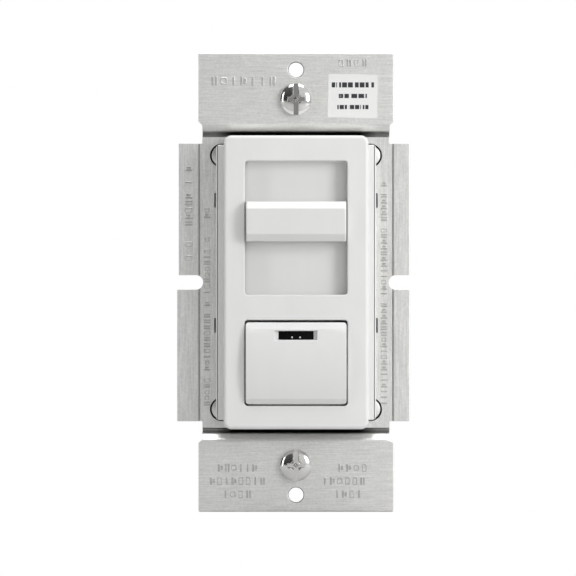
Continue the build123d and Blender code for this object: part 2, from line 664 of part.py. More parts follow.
def wiper_contacts():
    """Two sprung strips on the wiper block."""
    back = wiper_front() + WIPER_T
    root = back + STRIP_T
    tip = PART_BACK - TRACK_T - RUN_GAP
    high = KNOB_Z + STRIP_L / 2
    low = high - STRIP_SLANT
    blade = make_face(Polyline((root, high), (tip, low), (tip, low - STRIP_TIP),
                               (root, high - 1.5 * STRIP_TIP), close=True))
    strips = []
    for side in (-1, 1):
        x = side * WIPER_W / 4
        foot = block(x - STRIP_FOOT_W / 2, x + STRIP_FOOT_W / 2, back, root,
                     KNOB_Z - STRIP_L / 2, high)
        strips.append(foot + bar(blade, x - STRIP_W / 2, x + STRIP_W / 2))
    return Compound(strips)


def potentiometer_case():
    """Bent sheet case, open at the back, with the lever's slot in front."""
    case = block(-POT_W / 2, POT_W / 2, PART_FRONT, PART_BACK, POT_MIDDLE - POT_Z, POT_MIDDLE + POT_Z)
    case -= block(-POT_W / 2 + POT_WALL, POT_W / 2 - POT_WALL, PART_FRONT + POT_WALL, PART_BACK + CUT,
                  POT_MIDDLE - POT_Z + POT_WALL, POT_MIDDLE + POT_Z - POT_WALL)
    case -= block(-LEVER_W / 2 - RUN_GAP, LEVER_W / 2 + RUN_GAP, PART_FRONT - CUT, PART_FRONT + CUT,
                  POT_MIDDLE - LEVER_SLOT_Z, POT_MIDDLE + LEVER_SLOT_Z)
    return case


def potentiometer_track():
    """Resistance track board that closes the case."""
    x = POT_W / 2 - POT_WALL - PIECE_GAP
    z = POT_Z - POT_WALL - PIECE_GAP
    return block(-x, x, PART_BACK - TRACK_T, PART_BACK, POT_MIDDLE - z, POT_MIDDLE + z)


# ---------------------------------------------------------------- push pad and switch
def pad_profile(inset, back):
    """Side section of the pad, crowned in front, drawn inside its outline by inset."""
    high = PAD_HIGH - inset
    low = PAD_LOW + inset
    ends = FACE_FRONT - PAD_PROUD + inset
    crest = PAD_CREST + inset
    top_end = high - PAD_TOP_BEVEL + inset / 2
    bottom_end = low + PAD_BOTTOM_BEVEL - inset / 2
    edge = Polyline((ends, bottom_end), (FACE_FRONT + inset, low), (back, low), (back, high),
                    (FACE_FRONT + inset, high), (ends, top_end))
    crown = ThreePointArc((ends, top_end), (crest, (top_end + bottom_end) / 2), (ends, bottom_end))
    return make_face([*edge.edges(), crown])


def push_pad():
    """Crowned rocking pad with trunnions at its top edge."""
    outline = RectangleRounded(2 * PAD_X, PAD_HIGH - PAD_LOW, RECESS_CORNER_R)
    pad = bar(pad_profile(0, PAD_BACK), -PAD_X, PAD_X)
    pad &= slab(Pos(0, (PAD_HIGH + PAD_LOW) / 2) * outline, PAD_CREST - CUT, PAD_BACK)
    pad -= bar(pad_profile(PAD_WALL, PAD_BACK + CUT), -PAD_X + PAD_WALL, PAD_X - PAD_WALL)
    pad += block(-PAD_X + PAD_WALL, PAD_X - PAD_WALL, PAD_BACK - PAD_LIP_T, PAD_BACK,
                 PAD_LOW - PAD_LIP, PAD_LOW + PAD_WALL / 2)
    for side in (-1, 1):
        x0, x1 = sorted((side * (PAD_X - PAD_WALL), side * PAD_X))
        pad += block(x0, x1, PAD_BACK - ROOT, PIVOT_Y + TRUNNION_R, PIVOT_Z - TRUNNION_R, PAD_HIGH)
        x0, x1 = sorted((side * (PAD_X - PAD_WALL / 2), side * (PAD_X + TRUNNION_L)))
        pad += axle(x0, x1, PIVOT_Y, PIVOT_Z, TRUNNION_R)
    pad += rod(0, PUSHER_Z, PUSHER_R, PAD_CREST + PAD_WALL / 2, PLUNGER_TIP - RUN_GAP)
    window = block(-LENS_W / 2, LENS_W / 2, PAD_CREST - CUT, FACE_BACK,
                   LENS_Z - LENS_H / 2, LENS_Z + LENS_H / 2)
    return pad - window


def locator_lens():
    """Smoked lens set in the pad's light window."""
    front = FACE_FRONT - PAD_PROUD + LENS_SET
    x = LENS_W / 2 - PIECE_GAP
    z = LENS_H / 2 - PIECE_GAP
    return block(-x, x, front, front + LENS_T, LENS_Z - z, LENS_Z + z)


def plunger_stop():
    """Back face of the plunger's flange."""
    return PART_FRONT + SWITCH_WALL + RUN_GAP + PLUNGER_FLANGE_T


def switch_plunger():
    """Plunger that the pad pushes into the switch."""
    stop = plunger_stop()
    plunger = rod(0, PUSHER_Z, PLUNGER_R, PLUNGER_TIP, stop)
    plunger = chamfer(plunger.edges().group_by(Axis.Y)[0], PLUNGER_CHAMFER)
    plunger += rod(0, PUSHER_Z, PLUNGER_FLANGE_R, stop - PLUNGER_FLANGE_T, stop)
    return plunger


def contact_bridge():
    """Moving contact plate behind the plunger's flange, with two buttons."""
    front = plunger_stop()
    bridge = block(-BRIDGE_L / 2, BRIDGE_L / 2, front, front + BRIDGE_T,
                   PUSHER_Z - BRIDGE_W / 2, PUSHER_Z + BRIDGE_W / 2)
    for side in (-1, 1):
        x = side * (BRIDGE_L / 2 - BUTTON_INSET)
        bridge += rod(x, PUSHER_Z, BUTTON_R, front, front + BRIDGE_T + BUTTON_T)
    return bridge


def spring_ends():
    """Front and back of the coil spring between the bridge and the switch base."""
    front = plunger_stop() + BRIDGE_T + PIECE_GAP
    back = PART_BACK - SWITCH_BASE_T - PIECE_GAP
    return front, back


def switch_spring():
    """Coil spring that returns the plunger and the pad."""
    front, back = spring_ends()
    length = back - front - 2 * SPRING_WIRE_R
    coil = Helix(length / SPRING_TURNS, length, SPRING_R)
    ring = Plane(origin=coil @ 0, z_dir=coil % 0) * Circle(SPRING_WIRE_R)
    spring = sweep(ring, path=coil, is_frenet=True)
    return Pos(0, back - SPRING_WIRE_R, PUSHER_Z) * Rot(90, 0, 0) * spring


def switch_case():
    """Switch body, open at the back, with the plunger's hole in front."""
    x = SWITCH_W / 2
    z = SWITCH_H / 2
    wall = SWITCH_WALL
    back = PART_BACK - SWITCH_BASE_T
    case = block(-x, x, PART_FRONT, back, PUSHER_Z - z, PUSHER_Z + z)
    case -= block(-x + wall, x - wall, PART_FRONT + wall, back + CUT,
                  PUSHER_Z - z + wall, PUSHER_Z + z - wall)
    return case - rod(0, PUSHER_Z, PLUNGER_R + RUN_GAP, PART_FRONT - CUT, PART_FRONT + wall + CUT)


def switch_base():
    """Plate that closes the switch and carries its fixed contacts."""
    return block(-SWITCH_W / 2, SWITCH_W / 2, PART_BACK - SWITCH_BASE_T, PART_BACK,
                 PUSHER_Z - SWITCH_H / 2, PUSHER_Z + SWITCH_H / 2)


def switch_contacts():
    """Fixed contacts on the base, under the ends of the bridge."""
    base = PART_BACK - SWITCH_BASE_T
    top = plunger_stop() + BRIDGE_T + BUTTON_T + PLUNGER_TRAVEL + RUN_GAP
    strips = []
    for side in (-1, 1):
        x = side * (BRIDGE_L / 2 - BUTTON_INSET)
        x0 = x - CONTACT_STRIP_W / 2
        x1 = x + CONTACT_STRIP_W / 2
        stand = block(x0, x1, top, base, PUSHER_Z - CONTACT_W / 2, PUSHER_Z + CONTACT_W / 2)
        foot = block(x0, x1, base - CONTACT_T, base, PUSHER_Z - SWITCH_H / 2 + SWITCH_WALL + PIECE_GAP,
                     PUSHER_Z)
        strips.append(stand + foot)
    return Compound(strips)


def light_pipe():
    """Clear rod that carries the locator light to the pad."""
    front = FACE_FRONT + PAD_SKIRT + RUN_GAP
    pipe = rod(0, LENS_Z, PIPE_R, front, PART_BACK - LED_L - PIECE_GAP)
    return pipe + rod(0, LENS_Z, PIPE_R + COLLAR_REACH, PLATE_FRONT - COLLAR_T, PLATE_FRONT)


def locator_led():
    """Locator light emitter on the board's front."""
    led = rod(0, LENS_Z, LED_R, PART_BACK - LED_L, PART_BACK)
    return fillet(led.edges().group_by(Axis.Y)[0], LED_DOME)


# ---------------------------------------------------------------- housing and board
def back_housing():
    """Deep moulded housing with a post in each corner and one outlet for the leads."""
    outline = RectangleRounded(2 * HOUSING_X, 2 * HOUSING_Z, HOUSING_CORNER_R)
    housing = slab(outline, PLATE_BACK, HOUSING_BACK)
    housing = fillet(housing.faces().sort_by(Axis.Y)[-1].edges(), HOUSING_EDGE_R)
    inner = RectangleRounded(2 * INSIDE_X, 2 * INSIDE_Z, HOUSING_CORNER_R - HOUSING_WALL)
    housing -= slab(inner, PLATE_BACK - CUT, INSIDE_BACK)
    for x, z in corners(RIVET_X, RIVET_Z):
        housing += rod(x, z, POST_R, PLATE_BACK, INSIDE_BACK + ROOT)
        housing -= rod(x, z, RIVET_R + PIECE_GAP, PLATE_BACK - CUT, HOUSING_BACK + CUT)
        tail = HOUSING_BACK - RIVET_TAIL_T
        housing -= rod(x, z, RIVET_TAIL_R + 2 * PIECE_GAP, tail, HOUSING_BACK + CUT)
    for side in (-1, 1):
        x0, x1 = sorted((side * (INSIDE_X - LEDGE_REACH), side * (INSIDE_X + ROOT)))
        for z in (-LEDGE_Z, LEDGE_Z):
            housing += block(x0, x1, BOARD_BACK, INSIDE_BACK + ROOT, z - LEDGE_H / 2, z + LEDGE_H / 2)
    outlet_w = OUTLET_W + 2 * GROMMET_T
    outlet_h = OUTLET_H + 2 * GROMMET_T
    housing -= oblong(0, OUTLET_Z, outlet_w, outlet_h, INSIDE_BACK - CUT, HOUSING_BACK + CUT)
    return housing


def lead_grommet():
    """Rubber grommet in the leads' outlet, gripping both faces of the rear wall."""
    lip_w = OUTLET_W + 2 * (GROMMET_T + GROMMET_LIP)
    lip_h = OUTLET_H + 2 * (GROMMET_T + GROMMET_LIP)
    inner_w = OUTLET_W + 2 * (GROMMET_T - PIECE_GAP)
    inner_h = OUTLET_H + 2 * (GROMMET_T - PIECE_GAP)
    front = INSIDE_BACK - GROMMET_LIP
    back = HOUSING_BACK + GROMMET_LIP
    grommet = oblong(0, OUTLET_Z, inner_w, inner_h, front, back)
    grommet += oblong(0, OUTLET_Z, lip_w, lip_h, HOUSING_BACK, back)
    grommet += oblong(0, OUTLET_Z, lip_w, lip_h, front, INSIDE_BACK)
    return grommet - oblong(0, OUTLET_Z, OUTLET_W, OUTLET_H, front - CUT, back + CUT)


def corner_cut(x, z, reach, depth):
    """Square cut outwards from a corner post, for a sheet or board that stops short of it."""
    x0 = x - math.copysign(reach, x)
    z0 = z - math.copysign(reach, z)
    return block(*sorted((x0, 2 * x)), *depth, *sorted((z0, 2 * z)))


def insulating_sheet():
    """Thin barrier behind the strap, cut away round everything that passes through it."""
    x = INSIDE_X - SHEET_MARGIN
    z = INSIDE_Z - SHEET_MARGIN
    sheet = block(-x, x, PLATE_BACK, SHEET_BACK, -z, z)
    for x, z in corners(RIVET_X, RIVET_Z):
        sheet -= corner_cut(x, z, POST_R + 3 * RUN_GAP, PLATE_CUT)
    for side in (-1, 1):
        x0, x1 = sorted((side * (FLANGE_X - HOOK_T - 2 * RUN_GAP), side * INSIDE_X))
        for z in HOOK_ZS:
            sheet -= block(x0, x1, *PLATE_CUT, z - HOOK_W / 2 - RUN_GAP, z + HOOK_W / 2 + RUN_GAP)
    sheet -= block(-LEVER_W / 2 - 2 * RUN_GAP, LEVER_W / 2 + 2 * RUN_GAP, *PLATE_CUT,
                   POT_MIDDLE - LEVER_SLOT_Z - RUN_GAP, POT_MIDDLE + LEVER_SLOT_Z + RUN_GAP)
    sheet -= rod(0, PUSHER_Z, PLUNGER_R + 2 * RUN_GAP, *PLATE_CUT)
    sheet -= rod(0, LENS_Z, PIPE_R + RUN_GAP, *PLATE_CUT)
    x = TAB_W / 2 + THERMAL_MARGIN + RUN_GAP
    z = TAB_H / 2 + THERMAL_MARGIN + RUN_GAP
    return sheet - block(TRIAC_X - x, TRIAC_X + x, *PLATE_CUT, TRIAC_Z - z, TRIAC_Z + z)


def circuit_board():
    """Board on the housing's ribs, cut away round the corner posts."""
    board = block(-BOARD_X, BOARD_X, BOARD_FRONT, BOARD_BACK, -BOARD_Z, BOARD_Z)
    for x, z in corners(RIVET_X, RIVET_Z):
        board -= corner_cut(x, z, POST_R + RUN_GAP, BOARD_CUT)
    return board


def thermal_pad():
    """Insulating pad between the triac and the strap."""
    x = TAB_W / 2 + THERMAL_MARGIN
    z = TAB_H / 2 + THERMAL_MARGIN
    pad = block(TRIAC_X - x, TRIAC_X + x, PLATE_BACK, TAB_FRONT, TRIAC_Z - z, TRIAC_Z + z)
    return pad - rod(TRIAC_X, TRIAC_HOLE_Z, TRIAC_SCREW_R + PIECE_GAP, *PLATE_CUT)


def power_triac():
    """Power triac on the strap, which takes its heat, with three bent legs."""
    left = TRIAC_X - TAB_W / 2
    right = TRIAC_X + TAB_W / 2
    low = TRIAC_Z - TAB_H / 2
    triac = block(left, right, TAB_FRONT, TAB_BACK, low, low + TAB_H)
    triac += block(left, right, TAB_FRONT, TAB_FRONT + TRIAC_T, low, low + TRIAC_BODY_H)
    triac -= rod(TRIAC_X, TRIAC_HOLE_Z, TRIAC_SCREW_R + PIECE_GAP, TAB_FRONT - CUT, TAB_BACK + CUT)
    leg_front = TAB_FRONT + LEG_SET
    for step in (-1, 0, 1):
        x0 = TRIAC_X + step * LEG_PITCH - LEG_W / 2
        x1 = x0 + LEG_W
        triac += block(x0, x1, leg_front, leg_front + LEG_T, low - LEG_DROP, low + ROOT)
        triac += block(x0, x1, leg_front, PART_BACK, low - LEG_DROP, low - LEG_DROP + LEG_T)
    return triac


def triac_screw():
    """Screw from the strap's front through the triac's tab."""
    top = PLATE_FRONT - TRIAC_SCREW_HEAD_T
    head = rod(TRIAC_X, TRIAC_HOLE_Z, TRIAC_SCREW_HEAD_R, top, PLATE_FRONT)
    head = fillet(head.edges().group_by(Axis.Y)[0], TRIAC_SCREW_DOME)
    screw = head + rod(TRIAC_X, TRIAC_HOLE_Z, TRIAC_SCREW_R, PLATE_FRONT,
                       TAB_BACK + NUT_T + TRIAC_SCREW_PAST)
    reach = TRIAC_SCREW_HEAD_R + CUT
    half = TRIAC_SLOT_W / 2
    return screw - block(TRIAC_X - reach, TRIAC_X + reach, top - CUT, top + TRIAC_SCREW_HEAD_T / 2,
                         TRIAC_HOLE_Z - half, TRIAC_HOLE_Z + half)


def triac_nut():
    """Hexagon nut behind the triac's tab."""
    hexagon = Pos(TRIAC_X, TRIAC_HOLE_Z) * RegularPolygon(NUT_AF / 2, 6, major_radius=False)
    nut = slab(hexagon, TAB_BACK, TAB_BACK + NUT_T)
    return nut - rod(TRIAC_X, TRIAC_HOLE_Z, TRIAC_SCREW_R + PIECE_GAP / 2,
                     TAB_BACK - CUT, TAB_BACK + NUT_T + CUT)


# ---------------------------------------------------------------- components on the board's back
def pin(x, z, radius, rise):
    """Wire pin from the board up into a component."""
    return rod(x, z, radius, BOARD_BACK, MOUNT_BACK + rise)


def choke_core():
    """Ring core of the noise choke."""
    front = MOUNT_BACK + WINDING_T
    back = front + CHOKE_H
    core = rod(CHOKE_X, CHOKE_Z, CHOKE_R - WINDING_T, front, back)
    return core - rod(CHOKE_X, CHOKE_Z, CHOKE_BORE_R, front - CUT, back + CUT)


def choke_winding():
    """Two banks of wire wound over the core, left apart at the sides."""
    front = MOUNT_BACK
    back = front + CHOKE_H + 2 * WINDING_T
    gap = PIECE_GAP / 2
    banks = rod(CHOKE_X, CHOKE_Z, CHOKE_R, front, back)
    banks -= rod(CHOKE_X, CHOKE_Z, CHOKE_BORE_R - WINDING_T, front - CUT, back + CUT)
    room = rod(CHOKE_X, CHOKE_Z, CHOKE_R - WINDING_T + gap, front + WINDING_T - gap,
               back - WINDING_T + gap)
    banks -= room - rod(CHOKE_X, CHOKE_Z, CHOKE_BORE_R - gap, front, back)
    reach = CHOKE_R + CUT
    banks -= block(CHOKE_X - reach, CHOKE_X + reach, front - CUT, back + CUT,
                   CHOKE_Z - WINDING_SPLIT / 2, CHOKE_Z + WINDING_SPLIT / 2)
    return Compound(banks.solids())


def film_capacitor():
    """Boxed film capacitor on two short pins."""
    body = block(FILM_X - FILM_W / 2, FILM_X + FILM_W / 2, MOUNT_BACK, MOUNT_BACK + FILM_D,
                 FILM_Z - FILM_H / 2, FILM_Z + FILM_H / 2)
    body = fillet(body.edges(), FILM_EDGE_R)
    for side in (-1, 1):
        body += pin(FILM_X, FILM_Z + side * FILM_PINS / 2, PIN_R, PIN_RISE)
    return body


def can_capacitor(x, z, radius, height):
    """Round electrolytic can with a crimp groove."""
    can = rod(x, z, radius, MOUNT_BACK, MOUNT_BACK + height)
    can = fillet(can.edges().group_by(Axis.Y)[-1], CAN_EDGE_R)
    crimp = (MOUNT_BACK + CRIMP_RISE, MOUNT_BACK + CRIMP_RISE + CRIMP_W)
    can -= rod(x, z, radius + CUT, *crimp) - rod(x, z, radius - CRIMP_DEPTH, *crimp)
    for side in (-1, 1):
        can += pin(x + side * CAN_PINS / 2, z, PIN_R, PIN_RISE)
    return can


def electrolytic_capacitors():
    return Compound([can_capacitor(*can) for can in CANS])


def varistor():
    """Disc varistor standing on edge."""
    disc = axle(VARISTOR_X - VARISTOR_T / 2, VARISTOR_X + VARISTOR_T / 2,
                MOUNT_BACK + VARISTOR_R, VARISTOR_Z, VARISTOR_R)
    disc = fillet(disc.edges(), VARISTOR_EDGE_R)
    for side in (-1, 1):
        disc += pin(VARISTOR_X, VARISTOR_Z + side * VARISTOR_PINS / 2, PIN_R, VARISTOR_EDGE_R)
    return disc


def wired(x, z, radius, length, end_r):
    """Axial component along Z, on two bent leads."""
    y = MOUNT_BACK + radius
    body = post(x, y, z - length / 2, z + length / 2, radius)
    body = fillet(body.edges(), end_r)
    reach = length / 2 + LEAD_REACH
    body += post(x, y, z - reach, z + reach, LEAD_R)
    for side in (-1, 1):
        body += rod(x, z + side * reach, LEAD_R, BOARD_BACK, y + LEAD_R)
    return body


def fuse():
    """Cartridge fuse with two end caps."""
    tube = wired(FUSE_X, FUSE_Z, FUSE_R, FUSE_L, FUSE_EDGE_R)
    for side in (-1, 1):
        z = FUSE_Z + side * (FUSE_L - FUSE_CAP_L) / 2
        tube += post(FUSE_X, MOUNT_BACK + FUSE_R, z - FUSE_CAP_L / 2, z + FUSE_CAP_L / 2, FUSE_CAP_R)
    return tube


def resistors():
    return Compound([wired(x, z, RESISTOR_R, RESISTOR_L, RESISTOR_EDGE_R) for x, z in RESISTORS])


def diodes():
    return Compound([wired(x, z, DIODE_R, DIODE_L, DIODE_EDGE_R) for x, z in DIODES])


def lead_terminals():
    """Solder tabs that the leads start from."""
    tabs = []
    for step in range(-2, 3):
        x = step * TERMINAL_PITCH
        tabs.append(block(x - TERMINAL_W / 2, x + TERMINAL_W / 2, BOARD_BACK, BOARD_BACK + TERMINAL_H,
                          TERMINAL_Z - TERMINAL_T / 2, TERMINAL_Z + TERMINAL_T / 2))
    return Compound(tabs)


NODES = {
    "mounting_strap": mounting_strap,
    "strap_rivets": strap_rivets,
    "strap_label": strap_label,
    "box_screw_top": lambda: box_screw(1),
    "box_screw_bottom": lambda: box_screw(-1),
    "screw_keeper_top": lambda: screw_keeper(1),
    "screw_keeper_bottom": lambda: screw_keeper(-1),
    "face_frame": face_frame,
    "slider_floor": slider_floor,
    "slider_knob": slider_knob,
    "slider_carriage": slider_carriage,
    "potentiometer_lever": potentiometer_lever,
    "wiper_contacts": wiper_contacts,
    "potentiometer_case": potentiometer_case,
    "potentiometer_track": potentiometer_track,
    "push_pad": push_pad,
    "locator_lens": locator_lens,
    "switch_plunger": switch_plunger,
    "contact_bridge": contact_bridge,
    "switch_spring": switch_spring,
    "switch_case": switch_case,
    "switch_base": switch_base,
    "switch_contacts": switch_contacts,
    "light_pipe": light_pipe,
    "locator_led": locator_led,
    "back_housing": back_housing,
    "lead_grommet": lead_grommet,
    "insulating_sheet": insulating_sheet,
    "circuit_board": circuit_board,
    "thermal_pad": thermal_pad,
    "power_triac": power_triac,
    "triac_screw": triac_screw,
    "triac_nut": triac_nut,
    "choke_core": choke_core,
    "choke_winding": choke_winding,
    "film_capacitor": film_capacitor,
    "electrolytic_capacitors": electrolytic_capacitors,
    "varistor": varistor,
    "fuse": fuse,
    "resistors": resistors,
    "diodes": diodes,
    "lead_terminals": lead_terminals,
}

os.makedirs("parts", exist_ok=True)
for name, make in NODES.items():
    export_step(make(), f"parts/{name}.step")
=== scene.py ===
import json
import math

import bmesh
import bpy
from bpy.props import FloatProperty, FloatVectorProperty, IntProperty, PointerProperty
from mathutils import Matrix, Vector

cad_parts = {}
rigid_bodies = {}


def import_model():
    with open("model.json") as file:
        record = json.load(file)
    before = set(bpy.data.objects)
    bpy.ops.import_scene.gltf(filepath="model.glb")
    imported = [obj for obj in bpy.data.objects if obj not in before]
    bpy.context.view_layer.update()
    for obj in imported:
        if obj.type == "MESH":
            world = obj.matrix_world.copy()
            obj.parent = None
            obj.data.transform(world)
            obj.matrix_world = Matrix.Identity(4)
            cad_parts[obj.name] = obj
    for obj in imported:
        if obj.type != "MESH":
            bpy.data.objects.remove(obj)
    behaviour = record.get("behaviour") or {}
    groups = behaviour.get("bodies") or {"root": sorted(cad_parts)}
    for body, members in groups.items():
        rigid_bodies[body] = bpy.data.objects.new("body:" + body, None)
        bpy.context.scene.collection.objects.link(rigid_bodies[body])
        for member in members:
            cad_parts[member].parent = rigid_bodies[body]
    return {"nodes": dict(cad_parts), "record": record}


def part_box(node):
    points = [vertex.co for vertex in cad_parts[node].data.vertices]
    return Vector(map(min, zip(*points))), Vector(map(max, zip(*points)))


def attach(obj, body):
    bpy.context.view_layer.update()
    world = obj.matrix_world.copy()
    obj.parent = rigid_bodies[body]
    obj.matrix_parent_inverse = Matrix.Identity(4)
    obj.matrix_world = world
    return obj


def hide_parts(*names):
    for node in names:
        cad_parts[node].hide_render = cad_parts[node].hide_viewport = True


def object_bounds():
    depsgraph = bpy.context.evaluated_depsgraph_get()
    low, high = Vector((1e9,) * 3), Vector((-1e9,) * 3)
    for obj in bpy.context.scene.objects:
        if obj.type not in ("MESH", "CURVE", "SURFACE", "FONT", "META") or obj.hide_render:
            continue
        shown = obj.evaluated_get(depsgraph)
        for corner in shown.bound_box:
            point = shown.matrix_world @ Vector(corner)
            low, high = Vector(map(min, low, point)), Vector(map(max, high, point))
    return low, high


bl_info = {
    "name": "Slide Dimmer Maker",
    "version": (1, 0, 0),
    "blender": (4, 5, 0),
    "location": "3D View > Sidebar > Dimmer",
    "description": "Finishes a wall-box slide dimmer: strap, face, slider, push pad, screws and rivets",
    "category": "Object",
}

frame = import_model()
CAD_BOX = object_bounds()

MM = 0.001
STRAP_LOW, STRAP_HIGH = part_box("mounting_strap")
FACE_LOW, FACE_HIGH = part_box("face_frame")
PAD_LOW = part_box("push_pad")[0]
LENS_LOW, LENS_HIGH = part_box("locator_lens")
LABEL_LOW, LABEL_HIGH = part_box("strap_label")
RIVET_LOW, RIVET_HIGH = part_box("strap_rivets")
TREE_SEED = 7
FINISHES = {}  # filled at first use
SAME_POINT = 0.0005 * MM  # points nearer than this are joined
ON_FACE = 0.02 * MM  # a point this near to a face lies on it

# Strap. Places across and down are measured from its middle.
RIVET_RADIUS = 2.3 * MM
RIVET_X = RIVET_HIGH.x - RIVET_RADIUS
RIVET_Z = RIVET_HIGH.z - RIVET_RADIUS
RING_REACH = 2.8 * MM  # from a rivet's axis, what is inside belongs to its ring
RING_LAYER = (0.3 * MM, 0.9 * MM)  # depth in the sheet at which the ring's floor is looked for
RING_SHEET = 0.1 * MM  # sheet left behind the ring
HOOK_SLOT = (17.0 * MM, 18.9 * MM)  # width of the hook slots, darkened with painted shade
HOOK_REACH = 25 * MM  # height up to which painted shade darkens them
HOOK_EDGE = (18.3 * MM, 18.8 * MM)  # where the slots' outer edges are looked for
HOOK_SHIFT = 0.14 * MM  # how far those edges are moved outwards
HOOK_CLEAR = 5 * MM  # what the moved edges keep from the rivets' height
SCORE_X = 22.1 * MM
SCORE_HALF = 0.16 * MM  # half the width of a score line
WALLPLATE_HOLE_Z = 48.42 * MM
HOLE_RADIUS = 1.7 * MM  # a wallplate hole's radius
HOLE_REACH = 2.0 * MM  # an edge this near to the hole's axis belongs to it
EAR_CLEAR = 0.3 * MM  # an edge this far before the plate belongs to an ear
# Painted shade: a near-black tone laid in the grooves under the bends.
GROOVE_SHADE = (0.010, 0.009, 0.008)
# Painted shade: a near-black tone for the rivet gaps, score lines and hook slots, and a painted dark
# reflection on the wallplate holes' rims.
POCKET_SHADE = (0.012, 0.011, 0.010)

# Struck rows: first and last place (x, z) in millimetres, and the marks' height there.
STAMP_ROWS = [
    ((-24.5, 26.0), (-24.5, 5.6), 1.9),
    ((-20.3, 16.5), (-20.3, -29.0), 1.6),
    ((20.1, 22.4), (20.1, -27.5), 1.6),
    ((-18.6, 45.9), (-5.4, 45.9), 2.3),
    ((10.3, 50.0), (15.6, 50.0), 1.8),
    ((-17.2, -42.2), (-9.4, -42.2), 1.9),
    ((-19.0, -45.2), (-7.6, -45.2), 1.9),
    ((-16.0, -48.2), (-10.8, -48.2), 1.9),
    ((8.4, -42.2), (15.6, -42.2), 1.9),
    ((6.6, -45.2), (18.6, -45.2), 1.9),
    ((9.4, -48.2), (14.4, -48.2), 1.9),
]
# Outlines of one struck mark (centre, half width, half height), as shares of the mark's height.
STAMP_OUTLINES = [
    [(0.0, 0.30, 0.48)],
    [(-0.16, 0.12, 0.48), (0.19, 0.12, 0.48)],
    [(0.0, 0.12, 0.48)],
    [(-0.18, 0.14, 0.48), (0.17, 0.14, 0.30)],
    [(0.0, 0.34, 0.36)],
]
STAMP_STROKE = 0.15

# Label
LABEL_SIZE = (11.3 * MM, 9.9 * MM)
LABEL_TURN = math.radians(1.0)
LABEL_FLAT = 0.72  # beyond this share the corners lift
LABEL_LIFT = 0.07 * MM
LABEL_WAVE = 0.012 * MM
LABEL_BACK = 0.02 * MM  # from the label's back to the paper
LABEL_PAPER = 0.05 * MM
# Rows on the label: middle, half height and half width as shares of the label, bars in the row.
LABEL_ROWS = [(-0.50, 0.115, 0.84, 4.3), (0.0, 0.095, 0.56, 3.6), (0.50, 0.095, 0.62, 4.9)]

# Box screws
HEAD_RADIUS = 3.6 * MM
HEAD_HEIGHT = 1.9 * MM
DOME_RISE = 0.92 * MM
DOME_TURNS = (0.0, 0.12, 0.25, 0.4, 0.55, 0.7, 0.85, 1.0, 1.12, 1.25)
NECK_RADIUS = 1.45 * MM
THREAD_RADIUS = 1.75 * MM
THREAD_START = 1.0 * MM
POINT_CLEAR = 1.0 * MM  # length left plain at the point
CUT_JOIN = 0.002 * MM  # points of the cut drive nearer than this are joined
SLOT_CUT = (1.1 * MM, 2.4 * MM, 9.0 * MM)
CROSS_CUT = (3.8 * MM, 2.2 * MM, 0.9 * MM)
POINT_CUT = (1.8 * MM, 1.9 * MM)  # radius and depth of the drive's pointed middle
DRIVE_DEPTH = 1.0 * MM  # edges this near to the head's front are rounded
DRIVE_EDGE = 0.07 * MM

# Face, knob and pad
FLANGE_RISE = 3.4 * MM  # from the plate's front to the flange's
FLANGE_INSIDE = (17.9 * MM, 31.2 * MM)
KNOB_DEPTH = 2.7 * MM  # how far back the knob's edges are rounded
PAD_DEPTH = 2.4 * MM
RAMP_OVERLAP = 0.3 * MM  # how far the window's sloped ends run into the pad
RAMP_DROP = (0.02 * MM, 0.25 * MM)  # depth of the sloped ends, inside and outside
LENS_CUTS = 10
LENS_CROWN = 0.12 * MM
LENS_EDGE = 0.1 * MM
LENS_DEPTH = 0.2 * MM
TIP_RADIUS = 0.22 * MM
TIP_PLACE = (0.9 * MM, 0.1 * MM, 0.45 * MM)  # across, behind the window's front, above its foot

# Stage. A light: turn from the front and height (degrees), distance, width and height, power.
LIGHTS = {
    "key_light": (50, 16, 0.4, (0.13, 0.18), 0.75),
    "top_light": (4, 80, 1.2, (1.2, 0.6), 9.0),
    "left_rim": (-64, 10, 0.8, (0.15, 0.6), 1.5),
    "back_light": (165, 35, 1.0, (0.7, 0.5), 2.0),
}
ROOM_DARK = 0.03  # light of the room's dark left side
ROOM_BRIGHT = 0.62  # what its bright right side adds
ROOM_EDGE = (-0.10, 0.20)  # where the dark side turns into the bright one
ROOM_RISE = 0.10  # what the room gains overhead
VIEW_WIDTH = 131.4 * MM  # width of the view at the object
CAMERA_DISTANCE = 900 * MM
CAMERA_AIM = Vector((-1.82 * MM, 0, -1.28 * MM))
FLOOR_RADIUS = 1.6
WHITE = (1, 1, 1, 1)


# ---- settings
def length(name, description, default):
    """Length property in metres."""
    return FloatProperty(name=name, description=description, default=default, min=0.0, unit="LENGTH",
                         precision=5)


def colour(name, description, default):
    """Linear colour property."""
    return FloatVectorProperty(name=name, description=description, default=default, size=3,
                               subtype="COLOR", min=0.0, max=1.0)


